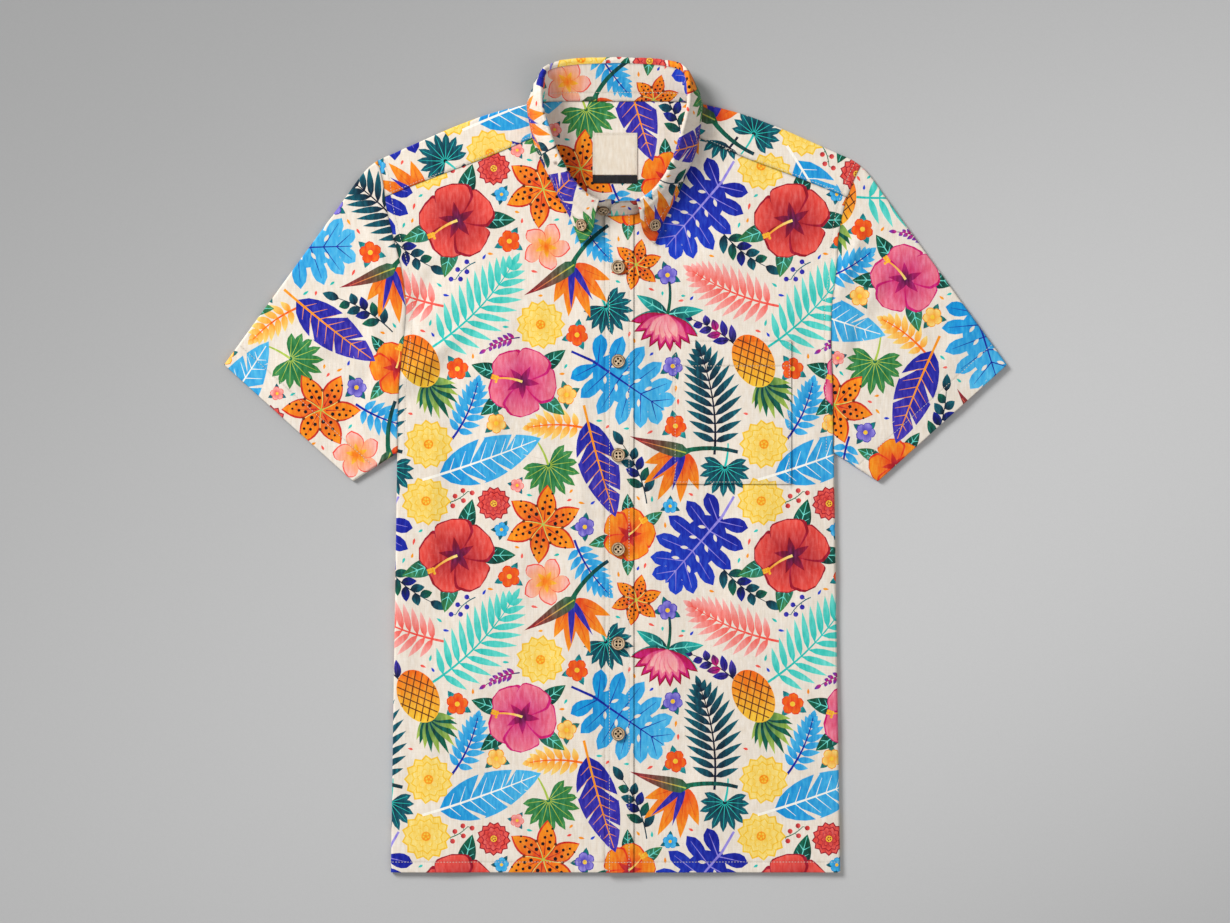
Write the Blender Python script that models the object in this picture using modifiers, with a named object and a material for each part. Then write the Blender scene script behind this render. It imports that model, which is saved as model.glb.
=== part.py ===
"""A short-sleeved hawaiian shirt with a button-down collar, laid flat on its back.

The shirt lies in the XY plane, its collar towards +Y and its front towards +Z. The wearer's left is at +X.
The origin is the centre of its outline, on the surface that it rests on. Every size is in millimetres until
a mesh is made. A cloth piece is a sheet of points on the cloth's middle surface, thickened by Solidify.
"""

import math

import bmesh
import bpy
import numpy as np
from mathutils import Matrix, Vector

MM = 0.001

# Cloth
CLOTH = 1.2  # thickness of the wall
SEAM = 0.3  # gap between two pieces at a seam
SPARE = 0.02  # added between two layers, so that rounding never narrows the gap
ARMHOLE_SEAM = 0.75  # the same gap, measured across the slanting armhole
UNDERARM_EASE = 1.0  # how much wider that gap is at the very bottom of the armhole
ON_TOP = CLOTH + SEAM + SPARE  # from a panel's middle to the middle of a piece that lies on it
LOWER = CLOTH / 2  # height of the lower layer's middle
UPPER = 3.8  # height of the upper layer's middle, where it has no fold
EDGE_RADIUS = 1.6  # how far a folded edge bulges
UNDERARM_RADIUS = 0.95  # the same, where the side's fold starts under the arm
EDGE_STEPS = 4
CLOTH_ROUGHNESS = 0.85

# Body
HEM_Y = -391.4
UNDERARM_Y = 12.0
HALF_CHEST = 209.9  # at the underarm
HALF_HEM = 216.0
COMMON_TOP_Y = 228.0  # the panels' rows are level up to here
BACK_SEAM_Y = 236.0  # the seam between the back and the yoke
FRONT_ROWS = (28, 7)  # longest step between level rows below the arm, and rows above the common top
BACK_ROWS = (63, 1)
ARM_ROW_STEP = 22  # longest step from the underarm to the common top
RIGHT_COLUMNS = (-14, -36, -69, -106, -142, -178)  # x of the fronts' and the back's level lines
LAP_COLUMNS = (30, 42)
OUTER_COLUMN = 190
BACK_COLUMNS = (40, 80, 120, 160, OUTER_COLUMN)
OUTER_PARTS = (0.5, 1.0)  # of the way from the last column to the armhole or the folded side

# Front band, its overlap, and the pocket
PLACKET_X = (-10.1, 17.3)
PLACKET_SHORT = 0.8  # its top ends this far below the neckline
RIGHT_FRONT_EDGE_X = 15.5
LAP_SLOPE_X = (19.0, 48.0)  # the left front comes down from the right front between these
POCKET_X = (55.3, 168.8)
POCKET_Y = (-18.3, 118.8)
POCKET_HEM = 23.6
POCKET_STEPS = 6

# Shoulder and the sleeve's upper edge, as outlined from above
SHOULDER = (  # distance from the centre line, y
    (60, 352.0),
    (84.6, 346.8),
    (120, 338.0),
    (155, 325.2),
    (188, 310.9),
    (214, 299.3),
    (229, 292.4),
    (237.5, 286.0),
    (246, 276.4),
    (258, 259.5),
    (302, 199.0),
    (376.2, 96.6),
)
ARMHOLE = (  # y, distance from the centre line on the wearer's right, on the left
    (12, 209.0, 209.0),
    (40, 209.2, 209.0),
    (78, 207.6, 208.4),
    (125, 203.0, 206.9),
    (155, 201.6, 208.0),
    (190, 206.0, 212.4),
    (222, 214.4, 214.6),
    (250, 220.6, 220.4),
    (272, 223.4, 228.4),
    (296, 229.6, 240.0),
)
SHOULDER_POINT = (225.0, 290.0)  # near where the armhole meets the shoulder
YOKE_SEAM = ((66, 320.6), (120, 297.2), (172, 277.4), (224, 256.8))  # distance, y
YOKE_COLUMNS = 7
YOKE_ROWS = {"back": 4, "front": 3}
YOKE_NECK_STEPS = 8  # across the neck, behind the collar
YOKE_NECK_RISE = 3.1  # how far the yoke's middle reaches past the shoulder's fold
SLEEVE_TIP = (375.9, 96.4)
SLEEVE_HEM_END = (252.2, -15.0)
SLEEVE_RINGS = 9
SLEEVE_COLUMNS = 11
UNDERARM_GAP = 0.9  # from the side's top to the sleeve's lower edge
EASE_START = 0.9  # part of the armhole's length at which its gap begins to widen

# Largest folds of the upper layer: soft ridges
FOLDS = (  # x, y, heading in degrees, half length, half width, height
    (-170, 142, 52, 62, 17, 1.6),
    (-128, 112, 60, 70, 20, 1.2),
    (238, 150, 74, 52, 13, 1.5),
    (-46, -150, 88, 190, 15, 1.1),
    (46, -215, 91, 150, 14, 1.1),
    (150, -150, 97, 200, 24, 1.2),
    (-140, -230, 84, 150, 26, 1.3),
    (92, 196, 38, 50, 18, 0.9),
    (-92, 205, 140, 52, 18, 0.9),
    (-300, 95, 56, 60, 18, 1.2),
    (300, 100, 124, 64, 20, 1.2),
)

# Collar, one side of it; z is the height of the wall's middle
COLLAR = (  # neck x, y, z; roll x, y, z; leaf edge x, y, z; bow of the leaf towards the centre
    (0, 350.9, 2.15, 0, 390.4, 13.0, 0, 355.0, 0.75, 0),
    (34, 350.9, 2.15, 38, 388.6, 14.0, 37, 355.0, 0.75, 0),
    (56, 350.6, 2.2, 60.0, 384.2, 18.0, 59, 355.5, 0.75, 0),
    (67.5, 350.2, 3.1, 67.0, 376.6, 24.5, 78, 355.0, 0.9, 0),
    (71.5, 350.0, 5.0, 68.8, 361.0, 29.5, 82.6, 350.8, 2.6, 0),
    (72.8, 344.0, 5.5, 68.6, 346.5, 31.5, 84.2, 344.6, 5.7, 0),
    (71.6, 333.0, 5.5, 65.6, 332.0, 31.5, 82.4, 330.0, 5.7, 0),
    (69.0, 318.5, 5.5, 61.0, 317.0, 30.0, 79.5, 313.5, 5.8, 0),
    (64.5, 300.5, 5.5, 55.2, 299.5, 28.5, 75.4, 298.5, 5.9, 0),
    (56.5, 281.5, 5.5, 46.8, 281.5, 26.5, 66.0, 278.5, 6.1, 0),
    (45.5, 264.5, 5.5, 37.4, 268.0, 25.0, 57.2, 258.5, 6.4, 0),
    (32.0, 250.5, 5.5, 28.0, 259.2, 23.5, 46.0, 238.0, 6.9, 1),
    (17.0, 242.0, 5.5, 17.4, 254.0, 22.0, 35.6, 212.2, 7.3, 6),
)
SHOULDER_ROW = 4  # the row of COLLAR at the shoulder's fold, and the one at the yoke's front seam
SEAM_ROW = 7
STATION_SHARE = 2  # stations to each row of COLLAR
YOKE_NECK_GAP = (0.6, -0.3)  # how far inside those rows' neck the yoke ends
NECKLINE_GAP = 0.6  # how far below the stand's foot the fronts end
NECKLINE_END = (-8.0, 240.0)  # distance from the centre line, y
STAND_END_X = {1: -6.3, -1: 0.5}  # where the stand ends, past the centre line, by side
STAND_END = (240.0, 5.5, 254.0, 21.4)  # neck y, z; roll y, z
ROLL_RISE = (5.0, 2.6)  # the leaf's strip between the stand's top and the roll, behind and in front
STAND_CORNER = ((0.4, 1.0), (0.65, 0.98), (0.85, 0.88), (1.0, 0.62))  # part of the way, part of the height
ROLL_RADIUS = 1.9
ROLL_STEPS = 4
LEAF_STEPS = 6
STAND_STEPS = 3
LEAF_BULGE = 1.8
TUCK = 2.1  # how far the right end of the stand passes inside the left one
CENTRE_SHIFT = (-0.6, 2.0)  # of the collar's centre line, at the shoulder and at the front
CENTRE_SHIFT_Y = (346, 262)
LAP_ROWS = (9, 12)  # rows of COLLAR between which the left half climbs onto the right one
RISE_ROWS = (7, 12)  # rows of COLLAR between which the leaf's strip narrows
FRAME_STEP = 0.3  # part of a row over which the collar's run is measured

# Label
LABEL_X = (-22.0, 21.0)
LABEL_Y = (278.9, 319.4)
STRIP_Y = (270.9, 278.5)
LABEL_THICK = 1.0

# Buttons
BUTTON_X = 2.6
BUTTON_YS = (189.9, 99.7, 9.6, -80.8, -171.1, -257.8)
BUTTON_RADIUS = 6.7
COLLAR_BUTTON_RADIUS = 6.0
BUTTON_FOOT = 0.8  # radius of a button's flat foot, as a part of its radius
NECK_BUTTON_FOOT = 4.0
BUTTON_ROUGHNESS = 0.5
RIM_ANGLE = 35  # edges of a button that are sharper stay sharp
COLLAR_BUTTONS = {"collar_button_right": (-32.1, 230.4, 0), "collar_button_left": (37.2, 230.4, 0)}
NECK_BUTTON = (-12.0, 244.6, 10.0)
NECK_BUTTON_FACING = (0, -0.74, 0.67)
BUTTON_PROFILE = (  # radius, height, as parts of the radius
    (0, 0),
    (BUTTON_FOOT, 0),
    (0.97, 0.10),
    (1.0, 0.22),
    (0.93, 0.36),
    (0.80, 0.38),
    (0.66, 0.29),
    (0, 0.27),
)
BUTTON_HOLE_RADIUS = 0.15
BUTTON_HOLE_OFFSET = 0.25
BUTTON_STEPS = 16
HOLE_STEPS = 6
PROBE = 60  # how far off a piece the search for a button's seat starts
MERGE = 0.00005  # metres

PRINTED_CLOTH = (0.72, 0.62, 0.50)
COLOURS = {"neck_label": (0.86, 0.80, 0.68), "label_strip": (0.02, 0.02, 0.03)}
BUTTON_COLOUR = (0.42, 0.30, 0.18)


def ramp(value, low, high):
    """0 at low, 1 at high, and smooth between."""
    part = min(1.0, max(0.0, (value - low) / (high - low)))
    return part * part * (3 - 2 * part)


def through(rows, at):
    """The value at a key, on a smooth curve through rows that start with their key."""
    table = np.array(rows, float)
    keys, values = table[:, 0], table[:, 1:]
    slopes = np.gradient(values, keys, axis=0)
    i = int(np.clip(np.searchsorted(keys, at) - 1, 0, len(keys) - 2))
    span = keys[i + 1] - keys[i]
    t = (at - keys[i]) / span
    if t < 0 or t > 1:
        end = i if t < 0 else i + 1
        found = values[end] + slopes[end] * (at - keys[end])
    else:
        found = (
            (1 + 2 * t) * (1 - t) ** 2 * values[i]
            + t * (1 - t) ** 2 * span * slopes[i]
            + t * t * (3 - 2 * t) * values[i + 1]
            + t * t * (t - 1) * span * slopes[i + 1]
        )
    return float(found[0]) if len(found) == 1 else found


def between(start, end, steps):
    return [start + (end - start) * k / steps for k in range(steps + 1)]


def lines(keys, longest):
    """The keys, with more values between them so that no step is longer than this."""
    found = [keys[0]]
    for start, end in zip(keys, keys[1:]):
        found += between(start, end, math.ceil((end - start) / longest))[1:]
    return found


def drape(x, y):
    """How far the folds lift the upper layer at a point."""
    lift = 0.0
    for fold_x, fold_y, heading, length, width, height in FOLDS:
        along_x, along_y = math.cos(math.radians(heading)), math.sin(math.radians(heading))
        dx, dy = x - fold_x, y - fold_y
        along = (dx * along_x + dy * along_y) / length
        across = (dx * along_y - dy * along_x) / width
        lift += height * math.exp(-across * across - along**4)
    return lift


def half_width(y):
    """From the centre line to the outermost point of the body's middle surface, below the underarm."""
    part = (y - UNDERARM_Y) / (HEM_Y - UNDERARM_Y)
    return HALF_CHEST + (HALF_HEM - HALF_CHEST) * part - CLOTH / 2


def armhole(y, side):
    right, left = through(ARMHOLE, y)
    return left if side > 0 else right


def shoulder_y(distance):
    """The middle surface's outermost y on the shoulder or the sleeve's upper edge."""
    slope = (through(SHOULDER, distance + 1) - through(SHOULDER, distance - 1)) / 2
    return through(SHOULDER, distance) - CLOTH / 2 * math.hypot(1, slope)


def collar_shift(y):
    top, low = CENTRE_SHIFT_Y
    return CENTRE_SHIFT[0] + (CENTRE_SHIFT[1] - CENTRE_SHIFT[0]) * ramp(-y, -top, -low)


def neck_y(x, side):
    """The front neckline's y, where it is lower than the yoke's seam."""
    rows = [row[:2] for row in reversed(COLLAR[SEAM_ROW:])]
    distance = side * (x - CENTRE_SHIFT[1])
    return through([NECKLINE_END, *rows], distance) - NECKLINE_GAP


def front_top(x, side):
    """The y of a front's upper edge: its neckline, or its seam with the yoke."""
    return min(neck_y(x, side), through(YOKE_SEAM, abs(x)) - SEAM)


def lap(x):
    """How far the left front is raised by the right front under it."""
    return ON_TOP * (1 - ramp(x, *LAP_SLOPE_X))


def upper(x, y):
    return UPPER + drape(x, y)


def left_front(x, y):
    return upper(x, y) + lap(x)


def side_radius(y):
    """How far the body's side bulges."""
    return UNDERARM_RADIUS + (EDGE_RADIUS - UNDERARM_RADIUS) * ramp(-y, -UNDERARM_Y, -UNDERARM_Y + 40)


def folded_edge(top, step, radius=EDGE_RADIUS):
    """A point of a folded edge as (bulge, height), from the upper layer at step 0 to the lower one."""
    angle = math.pi * (0.5 - step / (2 * EDGE_STEPS))
    middle = (top + LOWER) / 2
    return radius * math.cos(angle), middle + (top - LOWER) / 2 * math.sin(angle)


def sheet(name, rows, thickness=CLOTH, closed=False):
    """A cloth piece from rows of points, with None where it has no cloth. A closed one is a tube."""
    shape = bmesh.new()
    verts = [[point and shape.verts.new(Vector(point) * MM) for point in row] for row in rows]
    for first, second in zip(verts, verts[1:]):
        pairs = list(zip(first, second))
        for one, two in zip(pairs, pairs[1:] + (pairs[:1] if closed else [])):
            corners = (one[0], two[0], two[1], one[1])
            if all(corners):
                shape.faces.new(corners)
    for vert in [vert for vert in shape.verts if not vert.link_faces]:
        shape.verts.remove(vert)
    bmesh.ops.recalc_face_normals(shape, faces=shape.faces)
    wall = placed(name, shape, COLOURS.get(name, PRINTED_CLOTH), CLOTH_ROUGHNESS)
    solidify = wall.modifiers.new("Wall", "SOLIDIFY")
    solidify.thickness = thickness * MM
    solidify.offset = 0
    solidify.use_even_offset = True
    return wall


def placed(name, shape, colour, roughness):
    """An object with this shape and a material of its own, in the shirt's collection."""
    mesh = bpy.data.meshes.new(name)
    shape.to_mesh(mesh)
    shape.free()
    mesh.shade_smooth()
    mesh.materials.append(surface(name, colour, roughness))
    made = bpy.data.objects.new(name, mesh)
    shirt.objects.link(made)
    return made


def surface(name, colour, roughness):
    made = bpy.data.materials.new(name)
    made.use_nodes = True
    shader = made.node_tree.nodes["Principled BSDF"]
    shader.inputs["Base Color"].default_value = (*colour, 1)
    shader.inputs["Roughness"].default_value = roughness
    shader.inputs["Metallic"].default_value = 0.0
    made.diffuse_color = (*colour, 1)
    return made


def panel_rows(longest=FRONT_ROWS[0]):
    """The level rows that the fronts and the back share, from the hem up, as long as this below the arm."""
    low = lines((HEM_Y, POCKET_Y[0], UNDERARM_Y), longest)
    high = lines((UNDERARM_Y, POCKET_Y[1] - POCKET_HEM, POCKET_Y[1], COMMON_TOP_Y), ARM_ROW_STEP)
    return low + high[1:]


def panel(side, inner, columns, height, top, upper_layer):
    """The rows of a front, or of one half of the back.

    inner is its centre edge and columns its level lines, as x. height gives its middle's z, and top its
    upper edge's y. Past the last column it widens to the armhole, or to the folded side edge, which it
    shares with the panel on the other layer.
    """
    rows = []
    last = columns[-1]
    longest, rows_above = FRONT_ROWS if upper_layer else BACK_ROWS
    levels = [(y, 0) for y in panel_rows(longest)]
    levels += [(COMMON_TOP_Y, part) for part in between(0, 1, rows_above)[1:]]
    for level, part in levels:
        row = []
        for x in [inner, *columns]:
            y = level + (top(x) - level) * part
            row.append((x, y, height(x, y)))
        for outer in OUTER_PARTS:
            y = level
            for _ in range(4):
                below = level <= UNDERARM_Y
                edge = half_width(y) - side_radius(y) if below else armhole(y, side)
                x = side * (abs(last) + (edge - abs(last)) * outer)
                y = level + (top(x) - level) * part
            row.append((x, y, height(x, y)))
        x, y, _ = row[-1]
        top_height = upper(x, y)
        steps = range(1, EDGE_STEPS + 1) if upper_layer else range(2 * EDGE_STEPS - 1, EDGE_STEPS - 1, -1)
        for step in steps:
            if level > UNDERARM_Y:
                row.append(None)
                continue
            bulge, z = folded_edge(top_height, step, side_radius(y))
            gap = SEAM / 2 + SPARE if step == EDGE_STEPS else 0
            row.append((x + side * bulge, y, z + (gap if upper_layer else -gap)))
        rows.append(row)
    return rows


def make_fronts():
    left_columns = (PLACKET_X[1], *LAP_COLUMNS, *between(*POCKET_X, POCKET_STEPS), OUTER_COLUMN)
    halves = (
        ("front_right", -1, RIGHT_FRONT_EDGE_X, RIGHT_COLUMNS, upper),
        ("front_left", 1, PLACKET_X[0], left_columns, left_front),
    )
    for name, side, inner, columns, height in halves:

        def top(x):
            return front_top(x, side)

        sheet(name, panel(side, inner, columns, height, top, True))


def make_back():
    right, left = [
        panel(side, 0, [side * x for x in BACK_COLUMNS], lambda x, y: LOWER, lambda x: BACK_SEAM_Y, False)
        for side in (-1, 1)
    ]
    sheet("back", [list(reversed(one)) + other[1:] for one, other in zip(right, left)])


def make_placket():
    rows = [[(x, y, left_front(x, y) + ON_TOP) for x in PLACKET_X] for y in panel_rows()]
    for part in between(0, 1, 2)[1:]:
        row = []
        for x in PLACKET_X:
            y = COMMON_TOP_Y + (front_top(x, 1) - PLACKET_SHORT - COMMON_TOP_Y) * part
            row.append((x, y, left_front(x, y) + ON_TOP))
        rows.append(row)
    return sheet("placket", rows)


def make_pocket():
    xs = between(*POCKET_X, POCKET_STEPS)
    ys = [y for y in panel_rows() if POCKET_Y[0] - 0.1 <= y <= POCKET_Y[1] + 0.1]
    sheet("pocket", [[(x, y, left_front(x, y) + ON_TOP) for x in xs] for y in ys])


def make_yoke():
    """Rows run from the back seam up to the shoulder, over its fold, and down to the front seams."""
    start_y = SHOULDER_POINT[1]
    neck = COLLAR[SHOULDER_ROW][0] - YOKE_NECK_GAP[0]
    front_neck = COLLAR[SEAM_ROW][0] - YOKE_NECK_GAP[1]
    parts = between(0, 1, YOKE_COLUMNS)
    steps = 2 * EDGE_STEPS

    def point(side, across, stage, part):
        x = neck + (armhole(start_y, side) - neck) * across
        for _ in range(6):
            fold = shoulder_y(x) - EDGE_RADIUS
            inner = neck
            if stage == "back":
                y = BACK_SEAM_Y + SEAM + (fold - BACK_SEAM_Y - SEAM) * part
            elif stage == "front":
                y = fold + (through(YOKE_SEAM, x) - fold) * part
                inner = neck + (front_neck - neck) * part
            else:
                y = fold + folded_edge(UPPER, part)[0]
            x = inner + (armhole(y, side) - inner) * across
        z = upper(side * x, y)
        if stage == "back":
            z = LOWER
        elif stage == "fold":
            z = folded_edge(z, part)[1]
        return side * x, y, z

    stages = [("back", part) for part in between(0, 1, YOKE_ROWS["back"])]
    stages += [("fold", steps - k) for k in range(1, steps)]
    stages += [("front", part) for part in between(0, 1, YOKE_ROWS["front"])]
    rows = []
    for stage, part in stages:
        right = [point(-1, across, stage, part) for across in reversed(parts)]
        left = [point(1, across, stage, part) for across in parts]
        middle = [None] * (YOKE_NECK_STEPS - 1)
        if stage == "back":
            y = right[-1][1] + YOKE_NECK_RISE * part
            middle = [(x, y, LOWER) for x in between(-neck, neck, YOKE_NECK_STEPS)[1:-1]]
        rows.append(right + middle + left)
    sheet("yoke", rows)


def make_sleeve(name, side):
    """Rings of the flattened tube, from the armhole to the hem."""
    tip, hem_end = np.array(SLEEVE_TIP), np.array(SLEEVE_HEM_END)
    top_x = SHOULDER_POINT[0]
    for _ in range(8):
        top_y = shoulder_y(top_x)
        top_x = armhole(top_y, side) + ARMHOLE_SEAM

    def armhole_point(part):
        y = top_y + (UNDERARM_Y + UNDERARM_GAP - top_y) * part
        ease = UNDERARM_EASE * ramp(part, EASE_START, 1)
        return np.array((armhole(y, side) + ARMHOLE_SEAM + ease, y))

    def hem_point(part):
        return tip + (hem_end - tip) * part

    def upper_edge(along):
        x = top_x + (SLEEVE_TIP[0] - top_x) * along
        return np.array((x, shoulder_y(x)))

    def lower_edge(along):
        start, end = armhole_point(1), hem_point(1)
        return start + (end - start) * along

    def patch(along, part):
        """A point of the surface between the four edges, seen from above."""
        sides = (1 - along) * armhole_point(part) + along * hem_point(part)
        edges = (1 - part) * upper_edge(along) + part * lower_edge(along)
        corners = (1 - along) * ((1 - part) * armhole_point(0) + part * armhole_point(1))
        corners = corners + along * ((1 - part) * hem_point(0) + part * hem_point(1))
        x, y = sides + edges - corners
        return side * x, y

    def fold(along, length, margin, near):
        """The points over a long edge, from the upper layer down: near is 0 on top and 1 underneath."""
        outward = 1 if near else -1
        start = near - outward * margin
        top = upper(*patch(along, start))
        points = []
        for step in range(1, 2 * EDGE_STEPS):
            bulge, z = folded_edge(top, step)
            points.append((*patch(along, start + outward * bulge / length), z))
        return points

    rows = []
    for along in between(0, 1, SLEEVE_RINGS):
        length = math.dist(patch(along, 0), patch(along, 1))
        margin = EDGE_RADIUS / length
        across = between(margin, 1 - margin, SLEEVE_COLUMNS)
        ring = [(*patch(along, part), upper(*patch(along, part))) for part in across]
        ring += fold(along, length, margin, 1)
        ring += [(*patch(along, part), LOWER) for part in reversed(across)]
        ring += reversed(fold(along, length, margin, 0))
        rows.append(ring)
    sheet(name, rows, closed=True)


def collar_station(at, side):
    """Neck, roll and leaf edge at a place along the collar, and the leaf's bow. 0 is the centre back."""
    row = through([(k, *values) for k, values in enumerate(COLLAR)], at)
    neck, roll, edge, bow = row[0:3].copy(), row[3:6].copy(), row[6:9].copy(), row[9]
    for spot in (neck, roll, edge):
        spot[0] = side * spot[0] + collar_shift(spot[1])
    if side > 0:
        lift = lap(neck[0]) * ramp(at, *LAP_ROWS)
        neck[2] += lift
        roll[2] += lift
    return neck, roll, edge, bow


def unit(vector):
    return vector / np.linalg.norm(vector)


def roll_rise(at):
    return ROLL_RISE[0] + (ROLL_RISE[1] - ROLL_RISE[0]) * ramp(at, *RISE_ROWS)


def collar_frame(at, side):
    """The station's points with its stand's direction and the direction that its leaf turns to."""
    neck, roll, edge, bow = collar_station(at, side)
    rise = unit(roll - neck)
    before, after = max(0, at - FRAME_STEP), min(len(COLLAR) - 1, at + FRAME_STEP)
    along = collar_station(after, side)[1] - collar_station(before, side)[1]
    turn = unit(np.cross(rise, along) * side)
    return neck, roll, edge, bow, rise, turn


def stand_end(side, part):
    """Neck and roll between the last station and the stand's own end."""
    neck, roll, _, _ = collar_station(len(COLLAR) - 1, side)
    end_neck_y, end_neck_z, end_roll_y, end_roll_z = STAND_END
    x = side * STAND_END_X[side] + collar_shift(end_neck_y)
    lift = lap(x) if side > 0 else 0
    end_neck = np.array((x, end_neck_y, end_neck_z + lift))
    end_roll = np.array((x, end_roll_y, end_roll_z + lift))
    neck, roll = neck + (end_neck - neck) * part, roll + (end_roll - roll) * part
    if side < 0:
        shift = np.array((0, TUCK * ramp(part, 0, 0.6), 0))
        neck, roll = neck + shift, roll + shift
    return neck, roll


def make_stand():
    last = len(COLLAR) - 1
    stations = between(0, last, STATION_SHARE * last)
    heights = between(0, 1, STAND_STEPS)
    halves = []
    for side in (-1, 1):
        rows = []
        for at in stations:
            neck, roll, _, _, rise, _ = collar_frame(at, side)
            top = roll - rise * (roll_rise(at) + SEAM)
            rows.append([tuple(neck + (top - neck) * height) for height in heights])
        for part, share in STAND_CORNER:
            neck, roll = stand_end(side, part)
            top = roll - unit(roll - neck) * (ROLL_RISE[1] + SEAM)
            rows.append([tuple(neck + (top - neck) * height * share) for height in heights])
        halves.append(rows)
    return sheet("collar_stand", halves[0][::-1] + halves[1][1:])


def leaf_section(at, side):
    neck, roll, edge, bow, rise, turn = collar_frame(at, side)
    start = roll - rise * ROLL_RADIUS
    centre = start + turn * ROLL_RADIUS
    section = [roll - rise * roll_rise(at), roll - rise * (roll_rise(at) + ROLL_RADIUS) / 2]
    for angle in between(math.pi, 0, ROLL_STEPS):
        section.append(centre + ROLL_RADIUS * (turn * math.cos(angle) + rise * math.sin(angle)))
    foot = section[-1]
    inward = np.array((-side, 0, 0))
    for part in between(0, 1, LEAF_STEPS)[1:]:
        hump = 4 * part * (1 - part)  # 1 halfway
        lean = 27 / 4 * part * part * (1 - part)  # 1 at two thirds of the way
        section.append(foot + (edge - foot) * part + turn * LEAF_BULGE * hump + inward * bow * lean)
    return [tuple(spot) for spot in section]


def make_leaf():
    last = len(COLLAR) - 1
    stations = between(0, last, STATION_SHARE * last)
    halves = [[leaf_section(at, side) for at in stations] for side in (-1, 1)]
    return sheet("collar_leaf", halves[0][::-1] + halves[1][1:])


def make_label():
    z = LOWER + CLOTH / 2 + SEAM + LABEL_THICK / 2
    for name, ys in (("neck_label", LABEL_Y), ("label_strip", STRIP_Y)):
        rows = [[(x, y, z) for x in LABEL_X] for y in ys]
        sheet(name, rows, thickness=LABEL_THICK)


def button_mesh(radius):
    """A four-hole button with a raised rim, standing on its origin."""
    profile = bmesh.new()
    spots = [profile.verts.new(Vector((r * radius, 0, z * radius)) * MM) for r, z in BUTTON_PROFILE]
    for one, two in zip(spots, spots[1:]):
        profile.edges.new((one, two))
    turned = placed("turned", profile, BUTTON_COLOUR, BUTTON_ROUGHNESS)
    screw = turned.modifiers.new("Turn", "SCREW")
    screw.steps = screw.render_steps = BUTTON_STEPS
    screw.use_merge_vertices = True
    screw.merge_threshold = MERGE
    screw.use_normal_calculate = True
    cutter = bmesh.new()
    hole = BUTTON_HOLE_RADIUS * radius * MM
    for x, y in ((-1, -1), (-1, 1), (1, -1), (1, 1)):
        bmesh.ops.create_cone(
            cutter,
            cap_ends=True,
            segments=HOLE_STEPS,
            radius1=hole,
            radius2=hole,
            depth=2 * radius * MM,
            matrix=Matrix.Translation(Vector((x, y, 0)) * BUTTON_HOLE_OFFSET * radius * MM),
        )
    holes = placed("holes", cutter, BUTTON_COLOUR, BUTTON_ROUGHNESS)
    cut = turned.modifiers.new("Holes", "BOOLEAN")
    cut.operation = "DIFFERENCE"
    cut.solver = "EXACT"
    cut.object = holes
    evaluated = turned.evaluated_get(bpy.context.evaluated_depsgraph_get())
    mesh = bpy.data.meshes.new_from_object(evaluated)
    bpy.data.objects.remove(turned)
    bpy.data.objects.remove(holes)
    return mesh


def seat(under, target, facing, radius):
    """Where a flat foot of this radius rests on a piece: its centre, and the normal there."""
    graph = bpy.context.evaluated_depsgraph_get()
    solid = under.evaluated_get(graph)
    facing = Vector(facing).normalized()
    level = facing.cross(Vector((1, 0, 0))).normalized()
    across = level.cross(facing)
    hits = []
    for u, v in ((0, 0), (1, 0), (-1, 0), (0, 1), (0, -1)):
        start = Vector(target) + (across * u + level * v) * radius + facing * PROBE
        found, spot, _, _ = solid.ray_cast(start * MM, -facing)
        hits.append(spot / MM if found else hits[0])
    normal = (hits[1] - hits[2]).cross(hits[3] - hits[4]).normalized()
    if normal.dot(facing) < 0:
        normal.negate()
    rise = max((hit - hits[0]).dot(normal) for hit in hits)
    return hits[0] + normal * rise, normal


def make_button(name, mesh, spot, normal):
    """A button whose foot stands just off a surface, at a spot on it with this normal."""
    own = mesh.copy()
    own.name = name
    own.materials.clear()
    own.materials.append(surface(name, BUTTON_COLOUR, BUTTON_ROUGHNESS))
    own.shade_smooth()
    own.set_sharp_from_angle(angle=math.radians(RIM_ANGLE))
    button = bpy.data.objects.new(name, own)
    button.rotation_mode = "QUATERNION"
    button.rotation_quaternion = Vector((0, 0, 1)).rotation_difference(normal)
    button.location = (spot + normal * SEAM) * MM
    shirt.objects.link(button)


def make_buttons(placket, stand, leaf):
    body = button_mesh(BUTTON_RADIUS)
    small = button_mesh(COLLAR_BUTTON_RADIUS)
    for number, y in enumerate(BUTTON_YS, 1):
        spot, normal = seat(placket, (BUTTON_X, y, 0), (0, 0, 1), BUTTON_FOOT * BUTTON_RADIUS)
        make_button(f"button_{number}", body, spot, normal)
    for name, target in COLLAR_BUTTONS.items():
        spot, normal = seat(leaf, target, (0, 0, 1), COLLAR_BUTTON_RADIUS)
        make_button(name, small, spot, normal)
    spot, normal = seat(stand, NECK_BUTTON, NECK_BUTTON_FACING, NECK_BUTTON_FOOT)
    make_button("neck_button", small, spot, normal)


for old in list(bpy.data.objects):
    bpy.data.objects.remove(old)
shirt = bpy.data.collections.new("hawaiian_shirt")
bpy.context.scene.collection.children.link(shirt)

make_back()
make_fronts()
placket = make_placket()
make_pocket()
make_yoke()
make_sleeve("sleeve_right", -1)
make_sleeve("sleeve_left", 1)
stand = make_stand()
leaf = make_leaf()
make_label()
make_buttons(placket, stand, leaf)
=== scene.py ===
"""A hawaiian shirt laid flat on its back: thin printed cloth, stitching, coconut buttons and a bare label.

Lengths are in millimetres until a mesh is made. The wearer's left is at +X, the collar at +Y and the front
at +Z. Each piece is cut in the plane of its own cloth, with the print's shapes cut into it, and then laid.
"""

import math

import bmesh
import bpy
import numpy as np
from mathutils import Matrix, Vector
from mathutils.geometry import delaunay_2d_cdt


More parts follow.
